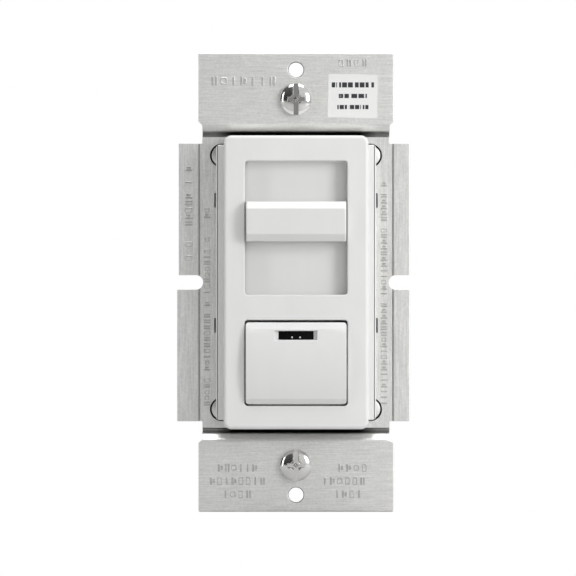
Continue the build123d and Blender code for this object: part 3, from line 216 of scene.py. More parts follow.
class DimmerSizes(bpy.types.PropertyGroup):
    """Sizes of the details that the finished pieces add to the plain solids."""
    sheet_thickness: length("Sheet", "Thickness of the strap's sheet", 1.5 * MM)
    bend_run: length("Bend run", "Height over which the strap bends back", 2.55 * MM)
    bend_margin: length("Bend margin", "Flat sheet left between the insert and the bend", 0.05 * MM)
    bend_spread: length("Bend spread", "How far the bend's curve runs into the ear", 0.45 * MM)
    sheet_edge: length("Sheet edge", "Rounding of the strap's sheared edges", 0.13 * MM)
    pierced_edge: length("Pierced edge", "Rolled rim of the wallplate holes and the ears' ends", 0.32 * MM)
    groove_width: length("Groove width", "Height of the groove under each bend", 1.25 * MM)
    groove_depth: length("Groove depth", "Depth of the groove under each bend", 1.0 * MM)
    face_edge: length("Face edge", "Rounding round the recess and the window", 0.30 * MM)
    flange_edge: length("Flange edge", "Rounding of the flange's rim", 0.3 * MM)
    knob_edge: length("Knob edge", "Rounding between the knob's facets", 0.16 * MM)
    pad_edge: length("Pad edge", "Rounding of the push pad's edges", 0.22 * MM)
    lens_ramp: length("Lens ramp", "Sloped run at each end of the light window", 0.65 * MM)
    thread_pitch: length("Thread pitch", "Rise of one turn of the box screws' thread", 0.794 * MM)
    thread_root: length("Thread root", "Radius at the bottom of the thread", 1.42 * MM)
    rivet_dome: length("Rivet dome", "Rounding of the rivets' head rims", 0.16 * MM)
    stamp_height: length("Stamp height", "Height of the struck marks", 0.14 * MM)
    bend_cuts: IntProperty(name="Bend cuts", description="Steps along each bend", default=16, min=4)
    turn_segments: IntProperty(name="Turned segments", description="Segments round a turned piece",
                               default=48, min=12)


class DimmerColours(bpy.types.PropertyGroup):
    """Linear colours of the finishes."""
    aluminium: colour("Aluminium", "Rolled strap sheet", (0.86, 0.857, 0.84))
    face: colour("Face", "Moulded face frame", (0.775, 0.775, 0.765))
    knob: colour("Knob", "Slider knob and push pad", (0.745, 0.745, 0.738))
    zinc: colour("Zinc", "Bright plated screws", (0.80, 0.79, 0.77))
    paper: colour("Paper", "Label stock", (0.80, 0.80, 0.79))
    print_ink: colour("Ink", "Printed bars on the label", (0.03, 0.03, 0.035))
    housing: colour("Housing", "Moulded back housing", (0.022, 0.023, 0.025))
    lens: colour("Lens", "Smoked light window", (0.003, 0.003, 0.0035))


def sizes():
    return bpy.context.scene.dimmer_sizes


def colours():
    return bpy.context.scene.dimmer_colours


# ---- shader maths
class Value:
    """A shader socket that can stand in an expression. Each operation adds its Math node."""

    def __init__(self, finish, socket):
        self.finish = finish
        self.socket = socket

    def apply(self, operation, *others, swap=False):
        terms = [self, *others]
        if swap:
            terms.reverse()
        return self.finish.node("ShaderNodeMath", {"operation": operation}, dict(enumerate(terms)))

    def __add__(self, other):
        return self.apply("ADD", other)

    __radd__ = __add__

    def __sub__(self, other):
        return self.apply("SUBTRACT", other)

    def __rsub__(self, other):
        return self.apply("SUBTRACT", other, swap=True)

    def __mul__(self, other):
        return self.apply("MULTIPLY", other)

    def __truediv__(self, other):
        return self.apply("DIVIDE", other)

    def __abs__(self):
        return self.apply("ABSOLUTE")

    def fract(self):
        return self.apply("FRACT")

    def above(self, limit):
        """1 where this is greater than the limit, otherwise 0."""
        return self.apply("GREATER_THAN", limit)

    def below(self, limit):
        return self.apply("LESS_THAN", limit)

    def ramp(self, low, high):
        """0 up to low, 1 from high on, and an even slope between them."""
        values = {"Value": self, "From Min": low, "From Max": high}
        return self.finish.node("ShaderNodeMapRange", {}, values)


def wired_node(tree, kind, settings, values):
    """Adds a node: its settings first, then the values or links of its sockets."""
    made = tree.nodes.new(kind)
    for key, setting in settings.items():
        setattr(made, key, setting)
    for key, value in values.items():
        for part in value if isinstance(value, list) else [value]:
            source = part.socket if isinstance(part, Value) else part
            if isinstance(source, bpy.types.NodeSocket):
                tree.links.new(source, made.inputs[key])
            else:
                made.inputs[key].default_value = source
    return made


class Shading:
    """A shader node tree under construction."""

    def __init__(self, tree):
        self.tree = tree
        self.tree.nodes.clear()

    def node(self, kind, settings, values, output=0):
        made = wired_node(self.tree, kind, settings, values)
        return None if output is None else Value(self, made.outputs[output])


class Finish(Shading):
    """A material under construction, with one principled shader."""

    def __init__(self, name, **constants):
        self.material = bpy.data.materials.new(name)
        self.material.use_nodes = True
        super().__init__(self.material.node_tree)
        self.output = self.tree.nodes.new("ShaderNodeOutputMaterial")
        self.shader = self.tree.nodes.new("ShaderNodeBsdfPrincipled")
        self.finish_with(self.surface())
        for socket, value in constants.items():
            self.shader.inputs[socket_name(socket)].default_value = value

    def surface(self):
        """The principled shader's own output."""
        return Value(self, self.shader.outputs[0])

    def finish_with(self, surface):
        self.tree.links.new(surface.socket, self.output.inputs["Surface"])

    def place(self, scale=(1, 1, 1), turn=(0, 0, 0)):
        """The point on the piece, in its own coordinates, stretched and turned."""
        point = self.node("ShaderNodeTexCoord", {}, {}, "Object")
        return self.node("ShaderNodeMapping", {}, {"Vector": point, "Scale": scale, "Rotation": turn})

    def axes(self):
        """The point's three coordinates."""
        point = self.node("ShaderNodeTexCoord", {}, {}, "Object")
        split = self.node("ShaderNodeSeparateXYZ", {}, {"Vector": point})
        return [Value(self, socket) for socket in split.socket.node.outputs]

    def noise(self, size, stretch=(1, 1, 1), detail=3.0, roughness=0.55):
        """Noise whose grains are about size across, longer where stretch is smaller."""
        values = {"Vector": self.place(stretch), "Scale": 1 / size, "Detail": detail,
                  "Roughness": roughness}
        return self.node("ShaderNodeTexNoise", {}, values)

    def cells(self, size, stretch=(1, 1, 1)):
        values = {"Vector": self.place(stretch), "Scale": 1 / size}
        return self.node("ShaderNodeTexVoronoi", {}, values)

    def mix(self, factor, first, second):
        """Colour between two colours."""
        values = {0: factor, 6: opaque(first), 7: opaque(second)}
        return self.node("ShaderNodeMix", {"data_type": "RGBA"}, values, 2)

    def bump(self, height, distance, strength=1.0, under=None):
        values = {"Height": height, "Distance": distance, "Strength": strength}
        if under is not None:
            values["Normal"] = under
        return self.node("ShaderNodeBump", {}, values)

    def drive(self, **links):
        """Links values to the shader's varying sockets."""
        for socket, value in links.items():
            self.tree.links.new(value.socket, self.shader.inputs[socket_name(socket)])
        return self.material


def socket_name(key):
    return key.replace("_", " ").title().replace("Ior", "IOR")


def opaque(value):
    """A colour's four numbers, or the linked value as it is."""
    return value if isinstance(value, Value) else (*value, 1.0)


def shade(tone, share):
    return tuple(part * share for part in tone)


# ---- finishes
def rolled_aluminium(name, share):
    """Rolled sheet: the grain runs across the ears and down the plate, and the bends are burnished."""
    made = Finish(name, metallic=1.0)
    tone = shade(colours().aluminium, share)
    size = sizes()
    plate, ear = bend_edges()
    x, y, z = made.axes()
    side, height = abs(x), abs(z)
    on_ear = height.ramp(plate - 1.0 * MM, ear)
    across = made.noise(0.30 * MM, (0.05, 1, 1), 4.0, 0.7)
    down = made.noise(0.30 * MM, (1, 1, 0.05), 4.0, 0.7)
    grain = across * on_ear + down * (1 - on_ear)
    fine = made.noise(0.14 * MM, (0.3, 1, 0.3), 2.0, 0.5)
    mottle = made.noise(1.3 * MM, (1, 1, 1), 3.0, 0.6)
    cloud = made.noise(9.0 * MM, (1, 1, 0.6), 2.0, 0.5)
    bend = height.ramp(plate - 0.1 * MM, plate + 0.1 * MM) * (1 - height.ramp(ear - 0.2 * MM, ear + 0.4 * MM))
    groove = (height.ramp(plate - 0.2 * MM, plate + 0.1 * MM)
              * (1 - height.ramp(plate + 0.85 * MM, plate + 1.2 * MM)))
    # Painted shade in the grooves under the bends, weaker towards the sides.
    groove_shade = groove * (1 - side.ramp(14.5 * MM, 18.5 * MM) * 0.55)
    tint = made.mix((grain * 0.7 + fine * 0.3).ramp(0.33, 0.67), shade(tone, 0.80), shade(tone, 1.10))
    tint = made.mix(mottle.ramp(0.35, 0.7) * 0.4, tint, shade(tone, 0.90))
    # Painted shade: these masks darken the gaps round the rivet heads, the score lines and the hook slots;
    # the hole mask paints a dark reflection on the wallplate holes' rolled rims.
    across_ring = side - RIVET_X
    down_ring = height - RIVET_Z
    ring = (across_ring * across_ring + down_ring * down_ring).below((RIVET_RADIUS + 0.45 * MM) ** 2)
    score = abs(side - SCORE_X).below(SCORE_HALF) * height.below(FACE_HIGH.z)
    hook = side.above(HOOK_SLOT[0]) * side.below(HOOK_SLOT[1]) * height.below(HOOK_REACH)
    front = STRAP_HIGH.y - size.sheet_thickness
    depth = y.ramp(front + 0.04 * MM, front + 0.3 * MM) * y.below(STRAP_HIGH.y - 0.03 * MM)
    hole_down = height - WALLPLATE_HOLE_Z
    hole = (side * side + hole_down * hole_down).below((HOLE_RADIUS + size.pierced_edge * 0.75) ** 2)
    rim = hole * y.ramp(STRAP_LOW.y + 0.03 * MM, STRAP_LOW.y + 0.12 * MM)
    pocket_shade = (ring + score * 0.35 + hook).ramp(0.0, 1.0) * depth + rim * 0.8
    tint = made.mix(groove_shade * 0.97, tint, GROOVE_SHADE)
    tint = made.mix(pocket_shade * 0.95, tint, POCKET_SHADE)
    rough = (0.42 + grain * 0.14 + mottle * 0.06 + cloud * 0.05) * (1 - bend * 0.35)
    relief = made.bump(grain * (1 - bend * 0.6), 0.03 * MM, 0.6)
    return made.drive(base_color=tint, roughness=rough, normal=relief)


def turned_metal(name, tone, rough, grain_size, worn=0.12):
    """Plated or turned metal with fine rings, small scratches and duller patches."""
    made = Finish(name, metallic=1.0)
    scratches = made.noise(0.12 * MM, (1, 0.25, 0.2), 3.0, 0.6)
    patches = made.noise(1.1 * MM, (1, 1, 1), 3.0, 0.6)
    rings = made.noise(grain_size, (1, 1.5, 1), 2.0, 0.5)
    tint = made.mix(patches.ramp(0.35, 0.72), shade(tone, 1.0), shade(tone, 1 - worn))
    tint = made.mix(scratches.ramp(0.58, 0.72) * 0.4, tint, shade(tone, 1 - 2 * worn))
    relief = made.bump(scratches * 0.6 + rings * 0.4, 0.010 * MM, 0.5)
    return made.drive(base_color=tint, roughness=rough + patches * 0.14, normal=relief)


def moulded(name, tone, rough, grain=0.09, depth=0.006, variation=0.03, coat=0.0):
    """Moulded plastic: a fine spark-eroded grain, slight flow marks and uneven gloss."""
    made = Finish(name, coat_weight=coat, coat_roughness=0.25)
    texture = made.cells(grain * MM)
    fine = made.noise(grain * 0.6 * MM, (1, 1, 1), 3.0, 0.6)
    flow = made.noise(7.0 * MM, (1, 1, 0.45), 3.0, 0.5)
    tint = made.mix(flow.ramp(0.3, 0.7), shade(tone, 1 - variation), tone)
    tint = made.mix(fine.ramp(0.55, 0.8) * 0.5, tint, shade(tone, 1 - variation))
    relief = made.bump(texture * 0.6 + fine * 0.4, depth * MM, 0.5)
    relief = made.bump(flow, 0.05 * MM, 0.12, relief)
    return made.drive(base_color=tint, roughness=rough + fine * 0.08 + flow * 0.04, normal=relief)


def lens_plastic():
    """Smoked window: dark, glossy, with a trace of flow and handling haze."""
    made = Finish("smoked_window", specular_ior_level=0.12)
    haze = made.noise(0.5 * MM, (1, 1, 1), 3.0, 0.6)
    tone = colours().lens
    tint = made.mix(haze.ramp(0.5, 0.8), tone, shade(tone, 2.2))
    relief = made.bump(made.noise(0.8 * MM), 0.01 * MM, 0.3)
    return made.drive(base_color=tint, roughness=0.12 + haze * 0.14, normal=relief)


def clear_resin(name, tone):
    """Water-clear moulding with faint flow lines."""
    made = Finish(name, transmission_weight=0.85, ior=1.49)
    flow = made.noise(0.9 * MM, (1, 0.3, 1), 3.0, 0.6)
    tint = made.mix(flow.ramp(0.3, 0.7), tone, shade(tone, 0.93))
    return made.drive(base_color=tint, roughness=0.06 + flow * 0.12, normal=made.bump(flow, 0.01 * MM, 0.3))


def label_print():
    """White paper with printed rows, each broken into bars of uneven length."""
    made = Finish("printed_label")
    middle = (LABEL_LOW + LABEL_HIGH) / 2
    half = (LABEL_HIGH - LABEL_LOW) / 2
    x, _, z = made.axes()
    across = (x - middle.x) / half.x
    down = (middle.z - z) / half.z
    paper = made.noise(0.18 * MM, (1, 1, 1), 4.0, 0.65)
    blots = made.noise(1.6 * MM)
    ink = None
    for row, (place, tall, reach, bars) in enumerate(LABEL_ROWS):
        inside = abs(down - place).below(tall) * abs(across).below(reach)
        beat = (across * bars + row * 0.37).fract().above(0.16)
        pause = (across * bars * 0.37 + row * 0.21).fract().above(0.13)
        mark = inside * beat * pause
        ink = mark if ink is None else ink + mark
    faded = ink * (1 - blots.ramp(0.62, 0.8) * 0.4)
    sheet = made.mix(paper.ramp(0.35, 0.7), colours().paper, shade(colours().paper, 0.95))
    tint = made.mix(faded, sheet, colours().print_ink)
    relief = made.bump(paper, 0.012 * MM, 0.4)
    return made.drive(base_color=tint, roughness=0.5 + paper * 0.2 - faded * 0.15, normal=relief)


def fibre_board(name, tone, weave, rough=0.62):
    """Pressed or laminated board: crossed fibres under a dull surface."""
    made = Finish(name)
    one = made.noise(weave * MM, (1, 1, 0.12), 3.0, 0.6)
    other = made.noise(weave * MM, (0.12, 1, 1), 3.0, 0.6)
    strands = one * 0.5 + other * 0.5
    tint = made.mix(strands.ramp(0.35, 0.65), shade(tone, 0.82), shade(tone, 1.08))
    return made.drive(base_color=tint, roughness=rough + strands * 0.15,
                      normal=made.bump(strands, 0.02 * MM, 0.5))


def wound_wire():
    """Enamelled copper turns lying side by side across the core."""
    made = Finish("wound_copper", metallic=0.9)
    turn = (made.axes()[0] / (0.9 * MM)).fract()
    crown = 1 - abs(turn * 2 - 1)
    enamel = made.noise(0.6 * MM)
    # Painted shade between the turns and painted highlight on their crowns: the copper is darker where turns
    # meet and lighter along their tops.
    tint = made.mix(crown.ramp(0.0, 0.5), (0.22, 0.06, 0.02), (0.72, 0.30, 0.13))
    tint = made.mix(enamel.ramp(0.4, 0.8) * 0.4, tint, (0.50, 0.18, 0.07))
    return made.drive(base_color=tint, roughness=0.28 + enamel * 0.15,
                      normal=made.bump(crown, 0.25 * MM, 0.8))


def banded(name, tone, band, pitch):
    """Coated component body with rings of another colour round it."""
    made = Finish(name, coat_weight=0.3, coat_roughness=0.2)
    ring = (made.axes()[2] / (pitch * MM)).fract().below(0.3)
    grain = made.noise(0.3 * MM)
    tint = made.mix(ring, made.mix(grain.ramp(0.3, 0.7), shade(tone, 0.9), tone), band)
    return made.drive(base_color=tint, roughness=0.35 + grain * 0.15, normal=made.bump(grain, 0.01 * MM, 0.4))


def finishes():
    """Every finish, under its material slot. The struck marks and the light tips have their own."""
    tones = colours()
    return {
        "strap_aluminium": rolled_aluminium("rolled_aluminium", 1.0),
        "struck_aluminium": rolled_aluminium("struck_aluminium", 0.80),
        "rivet_aluminium": turned_metal("rivet_metal", shade(tones.aluminium, 0.97), 0.36, 0.3 * MM),
        "zinc_steel": turned_metal("bright_zinc", tones.zinc, 0.06, 0.25 * MM, 0.10),
        "fibre": fibre_board("washer_fibre", (0.30, 0.13, 0.07), 0.25),
        "label_paper": label_print(),
        "white_frame": moulded("face_plastic", tones.face, 0.40),
        "white_knob": moulded("knob_plastic", tones.knob, 0.33, 0.08, 0.005),
        "smoked_lens": lens_plastic(),
        "clear_plastic": clear_resin("clear_pipe", (0.93, 0.96, 0.96)),
        "tip": moulded("lit_tip", (0.85, 0.86, 0.86), 0.25, 0.06),
        "black_plastic": moulded("housing_plastic", tones.housing, 0.42, 0.16, 0.02, 0.25),
        "inner_plastic": moulded("inner_nylon", (0.52, 0.50, 0.45), 0.45, 0.12),
        "rubber": moulded("grommet_rubber", (0.018, 0.018, 0.019), 0.62, 0.10, 0.015, 0.3),
        "sheet_fibre": fibre_board("barrier_sheet", (0.34, 0.36, 0.30), 0.3),
        "board": fibre_board("glass_board", (0.05, 0.20, 0.09), 0.35, 0.38),
        "case_steel": turned_metal("case_metal", (0.62, 0.62, 0.60), 0.34, 0.3 * MM),
        "spring_steel": turned_metal("spring_metal", (0.55, 0.55, 0.54), 0.26, 0.2 * MM),
        "brass": turned_metal("contact_brass", (0.80, 0.60, 0.28), 0.28, 0.3 * MM),
        "track_board": fibre_board("track_laminate", (0.28, 0.17, 0.07), 0.25),
        "thermal_film": moulded("thermal_silicone", (0.36, 0.40, 0.44), 0.60, 0.2),
        "component_black": moulded("epoxy_body", (0.03, 0.03, 0.032), 0.38, 0.1, 0.01, 0.2),
        "ferrite": moulded("powder_core", (0.62, 0.50, 0.09), 0.50, 0.15, 0.02, 0.12),
        "copper": wound_wire(),
        "film_box": moulded("film_case", (0.55, 0.36, 0.05), 0.34, 0.12),
        "can_sleeve": banded("sleeved_can", (0.02, 0.03, 0.10), (0.55, 0.56, 0.60), 11.0),
        "varistor_coat": moulded("varistor_lacquer", (0.04, 0.13, 0.34), 0.30, 0.25, 0.02, 0.1),
        "fuse_glass": banded("fuse_body", (0.55, 0.52, 0.46), (0.70, 0.69, 0.66), 7.0),
        "resistor_coat": banded("resistor_body", (0.45, 0.36, 0.22), (0.20, 0.05, 0.02), 1.1),
    }


# ---- mesh helpers
def face_out(mesh):
    """Turns the faces of every shell outwards."""
    bmesh.ops.recalc_face_normals(mesh, faces=mesh.faces)


def weld(mesh, reach=SAME_POINT):
    """Joins points that lie nearer than the reach."""
    bmesh.ops.remove_doubles(mesh, verts=mesh.verts, dist=reach)


def skin(mesh, low, high):
    """Faces between two rings of as many points."""
    for step in range(len(low)):
        after = (step + 1) % len(low)
        mesh.faces.new((low[step], low[after], high[after], high[step]))


def clamp(value, low=0.0, high=1.0):
    return max(low, min(high, value))


def ease(share):
    """Smooth step from 0 to 1."""
    share = clamp(share)
    return share * share * (3 - 2 * share)


def joined_solid(node, flat=0.4):
    """A solid's loose triangles joined, with each flat face made whole again."""
    mesh = bmesh.new()
    mesh.from_mesh(frame["nodes"][node].data)
    weld(mesh)
    bmesh.ops.dissolve_limit(mesh, angle_limit=math.radians(flat), use_dissolve_boundaries=False,
                             verts=mesh.verts, edges=mesh.edges, delimit=set())
    mesh.normal_update()
    return mesh


def sharp(edge, limit=35.0):
    """True where two faces meet outwards at more than the limit, in degrees."""
    return len(edge.link_faces) == 2 and edge.is_convex and edge.calc_face_angle(0) > math.radians(limit)


def round_edges(mesh, width, chosen, segments=3, limit=35.0):
    """Rounds the outward edges that the test chooses."""
    edges = [edge for edge in mesh.edges if sharp(edge, limit) and chosen(edge)]
    bmesh.ops.bevel(mesh, geom=edges, offset=width, offset_type="OFFSET", segments=segments,
                    profile=0.5, affect="EDGES", clamp_overlap=False, loop_slide=True)
    mesh.normal_update()


def middle_of(edge):
    return (edge.verts[0].co + edge.verts[1].co) / 2


def slice_at(mesh, axis, places):
    """Cuts the mesh across an axis, so that it can bend there."""
    for place in places:
        point = [0, 0, 0]
        point[axis] = place
        normal = [0, 0, 0]
        normal[axis] = 1
        geometry = [*mesh.verts, *mesh.edges, *mesh.faces]
        bmesh.ops.bisect_plane(mesh, geom=geometry, plane_co=point, plane_no=normal)


def plain_mesh(name, mesh):
    """Ends a bmesh in a plain mesh."""
    data = bpy.data.meshes.new(name)
    mesh.to_mesh(data)
    mesh.free()
    return data


def placed_object(name, data):
    """A new object in the scene."""
    made = bpy.data.objects.new(name, data)
    bpy.context.scene.collection.objects.link(made)
    return made


def turned_solid(name, side):
    """Solid turned on the Y axis from its side's points (radius, y)."""
    mesh = bmesh.new()
    line = [mesh.verts.new((radius, y, 0)) for radius, y in side]
    edges = [mesh.edges.new(pair) for pair in zip(line, line[1:])]
    bmesh.ops.spin(mesh, geom=[*line, *edges], cent=(0, 0, 0), axis=(0, 1, 0), angle=math.tau,
                   steps=sizes().turn_segments, use_merge=True)
    weld(mesh)
    face_out(mesh)
    return plain_mesh(name, mesh)


def finish_store():
    """The finishes, made once and found again by their slots."""
    if not FINISHES:
        FINISHES.update(finishes())
    return FINISHES


def new_piece(name, mesh, body, slot, *nodes, **looks):
    """Turns a bmesh into a finished piece that rides on a body."""
    place_piece(name, plain_mesh(name, mesh), body, slot, *nodes, **looks)


def place_piece(name, data, body, slot, *nodes, crease=38.0, finish=None):
    """Shades a mesh, in its slot's finish or in another, and lets it ride on a body."""
    for attribute in ("custom_normal", "sharp_face"):
        if attribute in data.attributes:
            data.attributes.remove(data.attributes[attribute])
    data.polygons.foreach_set("use_smooth", [True] * len(data.polygons))
    data.set_sharp_from_angle(angle=math.radians(crease))
    data.materials.clear()
    data.materials.append(finish_store()[finish or slot])
    piece = placed_object(name, data)
    weighted = piece.modifiers.new("even_shading", "WEIGHTED_NORMAL")
    weighted.keep_sharp = True
    weighted.weight = 80
    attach(piece, body)
    if nodes:
        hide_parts(*nodes)


def body_of(node):
    """The body that a node of the frame rides on."""
    groups = frame["record"]["behaviour"]["bodies"]
    return next(body for body, members in groups.items() if node in members)


# ---- geometry node trees
class Tree:
    """A geometry node tree under construction, with named inputs."""

    def __init__(self, name):
        self.group = bpy.data.node_groups.new(name, "GeometryNodeTree")
        self.group.interface.new_socket("Geometry", in_out="INPUT", socket_type="NodeSocketGeometry")
        self.group.interface.new_socket("Geometry", in_out="OUTPUT", socket_type="NodeSocketGeometry")
        self.entry = self.group.nodes.new("NodeGroupInput")
        self.exit = self.group.nodes.new("NodeGroupOutput")
        self.ids = {}

    def settings(self, kind, *names):
        """Adds named inputs of one kind and returns their sockets."""
        for name in names:
            socket = self.group.interface.new_socket(name, in_out="INPUT", socket_type="NodeSocket" + kind)
            self.ids[name] = socket.identifier
        return [self.entry.outputs[name] for name in names]

    def node(self, kind, settings, values, output=0):
        return wired_node(self.group, kind, settings, values).outputs[output]

    def close(self, geometry):
        """Ends the tree in real geometry that carries the material given to it."""
        material = self.settings("Material", "Material")[0]
        real = self.node("GeometryNodeRealizeInstances", {}, {0: geometry})
        done = self.node("GeometryNodeSetMaterial", {}, {"Geometry": real, "Material": material})
        self.group.links.new(done, self.exit.inputs[0])


def grown(tree, data, values):
    """Runs a tree on a mesh and gives back the plain mesh that it makes."""
    host = placed_object("host", data)
    modifier = host.modifiers.new("tree", "NODES")
    modifier.node_group = tree.group
    for name, value in values.items():
        modifier[tree.ids[name]] = value
    bpy.context.view_layer.update()
    evaluated = host.evaluated_get(bpy.context.evaluated_depsgraph_get())
    made = bpy.data.meshes.new_from_object(evaluated)
    host.modifiers.clear()
    bpy.data.objects.remove(host)
    return made


def outward(data):
    """Joins doubled points and turns every shell of a mesh outwards."""
    mesh = bmesh.new()
    mesh.from_mesh(data)
    weld(mesh)
    face_out(mesh)
    mesh.to_mesh(data)
    mesh.free()
    return data


def screw_tree():
    """Cuts the drive into the input blank's head and winds a thread ridge round its shank."""
    tree = Tree("captive_screw")
    root, ridge, turns, rise = tree.settings("Float", "Root Radius", "Ridge Height", "Turns", "Length")
    point_radius, point_depth = tree.settings("Float", "Point Radius", "Point Depth")
    start, front = tree.settings("Vector", "Start", "Head Front")
    slot_size, cross_size = tree.settings("Vector", "Slot Size", "Cross Size")
    slot = tree.node("GeometryNodeMeshCube", {}, {"Size": slot_size})
    cross = tree.node("GeometryNodeMeshCube", {}, {"Size": cross_size})
    point = tree.node("GeometryNodeMeshCone", {},
                      {"Vertices": 4, "Radius Top": 0.0, "Radius Bottom": point_radius,
                       "Depth": point_depth})
    inward = tree.node("GeometryNodeTransform", {}, {"Geometry": point, "Rotation": (-math.pi / 2, 0, 0)})
    placed = [tree.node("GeometryNodeTransform", {}, {"Geometry": cutter, "Translation": front})
              for cutter in (slot, cross, inward)]
    cut = tree.node("GeometryNodeMeshBoolean", {"operation": "DIFFERENCE", "solver": "EXACT"},
                    {0: tree.entry.outputs[0], 1: placed})
    spiral = tree.node("GeometryNodeCurveSpiral", {},
                       {"Resolution": 28, "Rotations": turns, "Start Radius": root, "End Radius": root,
                        "Height": rise})
    upright = tree.node("GeometryNodeSetCurveNormal", {"mode": "Z_UP"}, {"Curve": spiral})
    diamond = tree.node("GeometryNodeCurvePrimitiveCircle", {"mode": "RADIUS"},
                        {"Resolution": 4, "Radius": ridge})
    wound = tree.node("GeometryNodeCurveToMesh", {},
                      {"Curve": upright, "Profile Curve": diamond, "Fill Caps": True})
    laid = tree.node("GeometryNodeTransform", {},
                     {"Geometry": wound, "Translation": start, "Rotation": (-math.pi / 2, 0, 0)})
    both = tree.node("GeometryNodeJoinGeometry", {}, {0: [cut, laid]})
    tree.close(both)
    return tree


def rivet_tree():
    """Sets the input rivet at each of four corners."""
    tree = Tree("corner_rivets")
    span_x, span_z = tree.settings("Float", "Span X", "Span Z")
    grid = tree.node("GeometryNodeMeshGrid", {},
                     {"Size X": span_x, "Size Y": span_z, "Vertices X": 2, "Vertices Y": 2})
    upright = tree.node("GeometryNodeTransform", {}, {"Geometry": grid, "Rotation": (math.pi / 2, 0, 0)})
    turn = tree.node("FunctionNodeRandomValue", {"data_type": "FLOAT_VECTOR"},
                     {0: (0, 0, 0), 1: (0, math.tau, 0), "Seed": TREE_SEED})
    rivets = tree.node("GeometryNodeInstanceOnPoints", {},
                       {"Points": upright, "Instance": tree.entry.outputs[0], "Rotation": turn})
    tree.close(rivets)
    return tree


def stamp_tree():
    """Lays the input mark on those places of a row whose random number picks its kind."""
    tree = Tree("struck_row")
    count, kinds, kind, seed = tree.settings("Int", "Count", "Kinds", "Kind", "Seed")
    first, last, size = tree.settings("Vector", "First", "Last", "Size")
    turn, = tree.settings("Rotation", "Turn")
    line = tree.node("GeometryNodeMeshLine", {"mode": "END_POINTS"},
                     {"Count": count, "Start Location": first, "Offset": last})
    draw = tree.node("FunctionNodeRandomValue", {"data_type": "INT"}, {4: 0, 5: kinds, "Seed": seed}, 2)
    chosen = tree.node("FunctionNodeCompare", {"data_type": "INT", "operation": "EQUAL"},
                       {"A": draw, "B": kind})
    marks = tree.node("GeometryNodeInstanceOnPoints", {},
                      {"Points": line, "Selection": chosen, "Instance": tree.entry.outputs[0],
                       "Rotation": turn, "Scale": size})
    tree.close(marks)
    return tree


# ---- strap
def bend_edges():
    """Heights where the plate ends and where the ear begins."""
    plate = FACE_HIGH.z + sizes().bend_margin
    return plate, plate + sizes().bend_run


def make_strap():
    """Sheet strap with soft bends, a groove under each bend and rolled edges."""
    size = sizes()
    mesh = joined_solid("mounting_strap")
    plate, ear = bend_edges()
    end = ear + size.bend_spread
    start = plate - size.groove_width * 0.1
    back_set = STRAP_HIGH.y
    plate_front = back_set - size.sheet_thickness
    steps = size.bend_cuts
    levels = [start + (end - start) * step / steps for step in range(steps + 1)]
    slice_at(mesh, 2, [side * level for level in levels for side in (-1, 1)])
    for vertex in mesh.verts:
        place = vertex.co
        side, height = abs(place.x), abs(place.z)
        by_rivet = math.hypot(side - RIVET_X, height - RIVET_Z) < RING_REACH
        if by_rivet and plate_front + RING_LAYER[0] < place.y < plate_front + RING_LAYER[1]:
            place.y = back_set - RING_SHEET
        if HOOK_EDGE[0] < side < HOOK_EDGE[1] and height < RIVET_Z - HOOK_CLEAR:
            place.x += math.copysign(HOOK_SHIFT, place.x)
        straight = clamp((ear - height) / (ear - plate))
        curved = ease((end - height) / (end - plate))
        dip = max(0.0, 1 - ((height - start) / size.groove_width * 2 - 1) ** 2)
        place.y += back_set * (curved - straight) + size.groove_depth * dip
    round_edges(mesh, size.pierced_edge, lambda edge: pierced(edge, plate_front), 3, 55.0)
    round_edges(mesh, size.sheet_edge, lambda edge: True, 2, 55.0)
    new_piece("strap_sheet", mesh, "device", "strap_aluminium", "mounting_strap")


def pierced(edge, plate_front):
    """Front rims of the two wallplate holes, and the front edges of the ears' ends."""
    place = middle_of(edge)
    if any(vertex.co.y > plate_front - EAR_CLEAR for vertex in edge.verts):
        return False
    hole = math.hypot(place.x, abs(place.z) - WALLPLATE_HOLE_Z) < HOLE_REACH
    return hole or abs(place.z) > STRAP_HIGH.z - ON_FACE


def rounded_outline(half_x, half_z, radius, arc=4):
    """Points round a rounded rectangle."""
    radius = min(radius, half_x * 0.98, half_z * 0.98)
    points = []
    for quarter in range(4):
        centre_x = (half_x - radius) * (1 if quarter in (0, 3) else -1)
        centre_z = (half_z - radius) * (1 if quarter in (0, 1) else -1)
        for step in range(arc + 1):
            angle = math.pi / 2 * (quarter + step / arc)
            points.append((centre_x + radius * math.cos(angle), centre_z + radius * math.sin(angle)))
    return points


def struck_mark(outlines):
    """One generic struck mark: raised rounded outlines, one unit tall and one unit high."""
    mesh = bmesh.new()
    for centre, half_x, half_z in outlines:
        rings = []
        for inset, rise in ((0.0, 0.0), (0.35, 1.0), (0.65, 1.0), (1.0, 0.0)):
            wide = max(half_x - inset * STAMP_STROKE, 0.004)
            tall = max(half_z - inset * STAMP_STROKE, 0.004)
            points = rounded_outline(wide, tall, 0.16)
            rings.append([mesh.verts.new((centre + x, -rise, z)) for x, z in points])
        rings.append(rings[0])
        for low, high in zip(rings, rings[1:]):
            skin(mesh, low, high)
    face_out(mesh)
    return plain_mesh("mark", mesh)


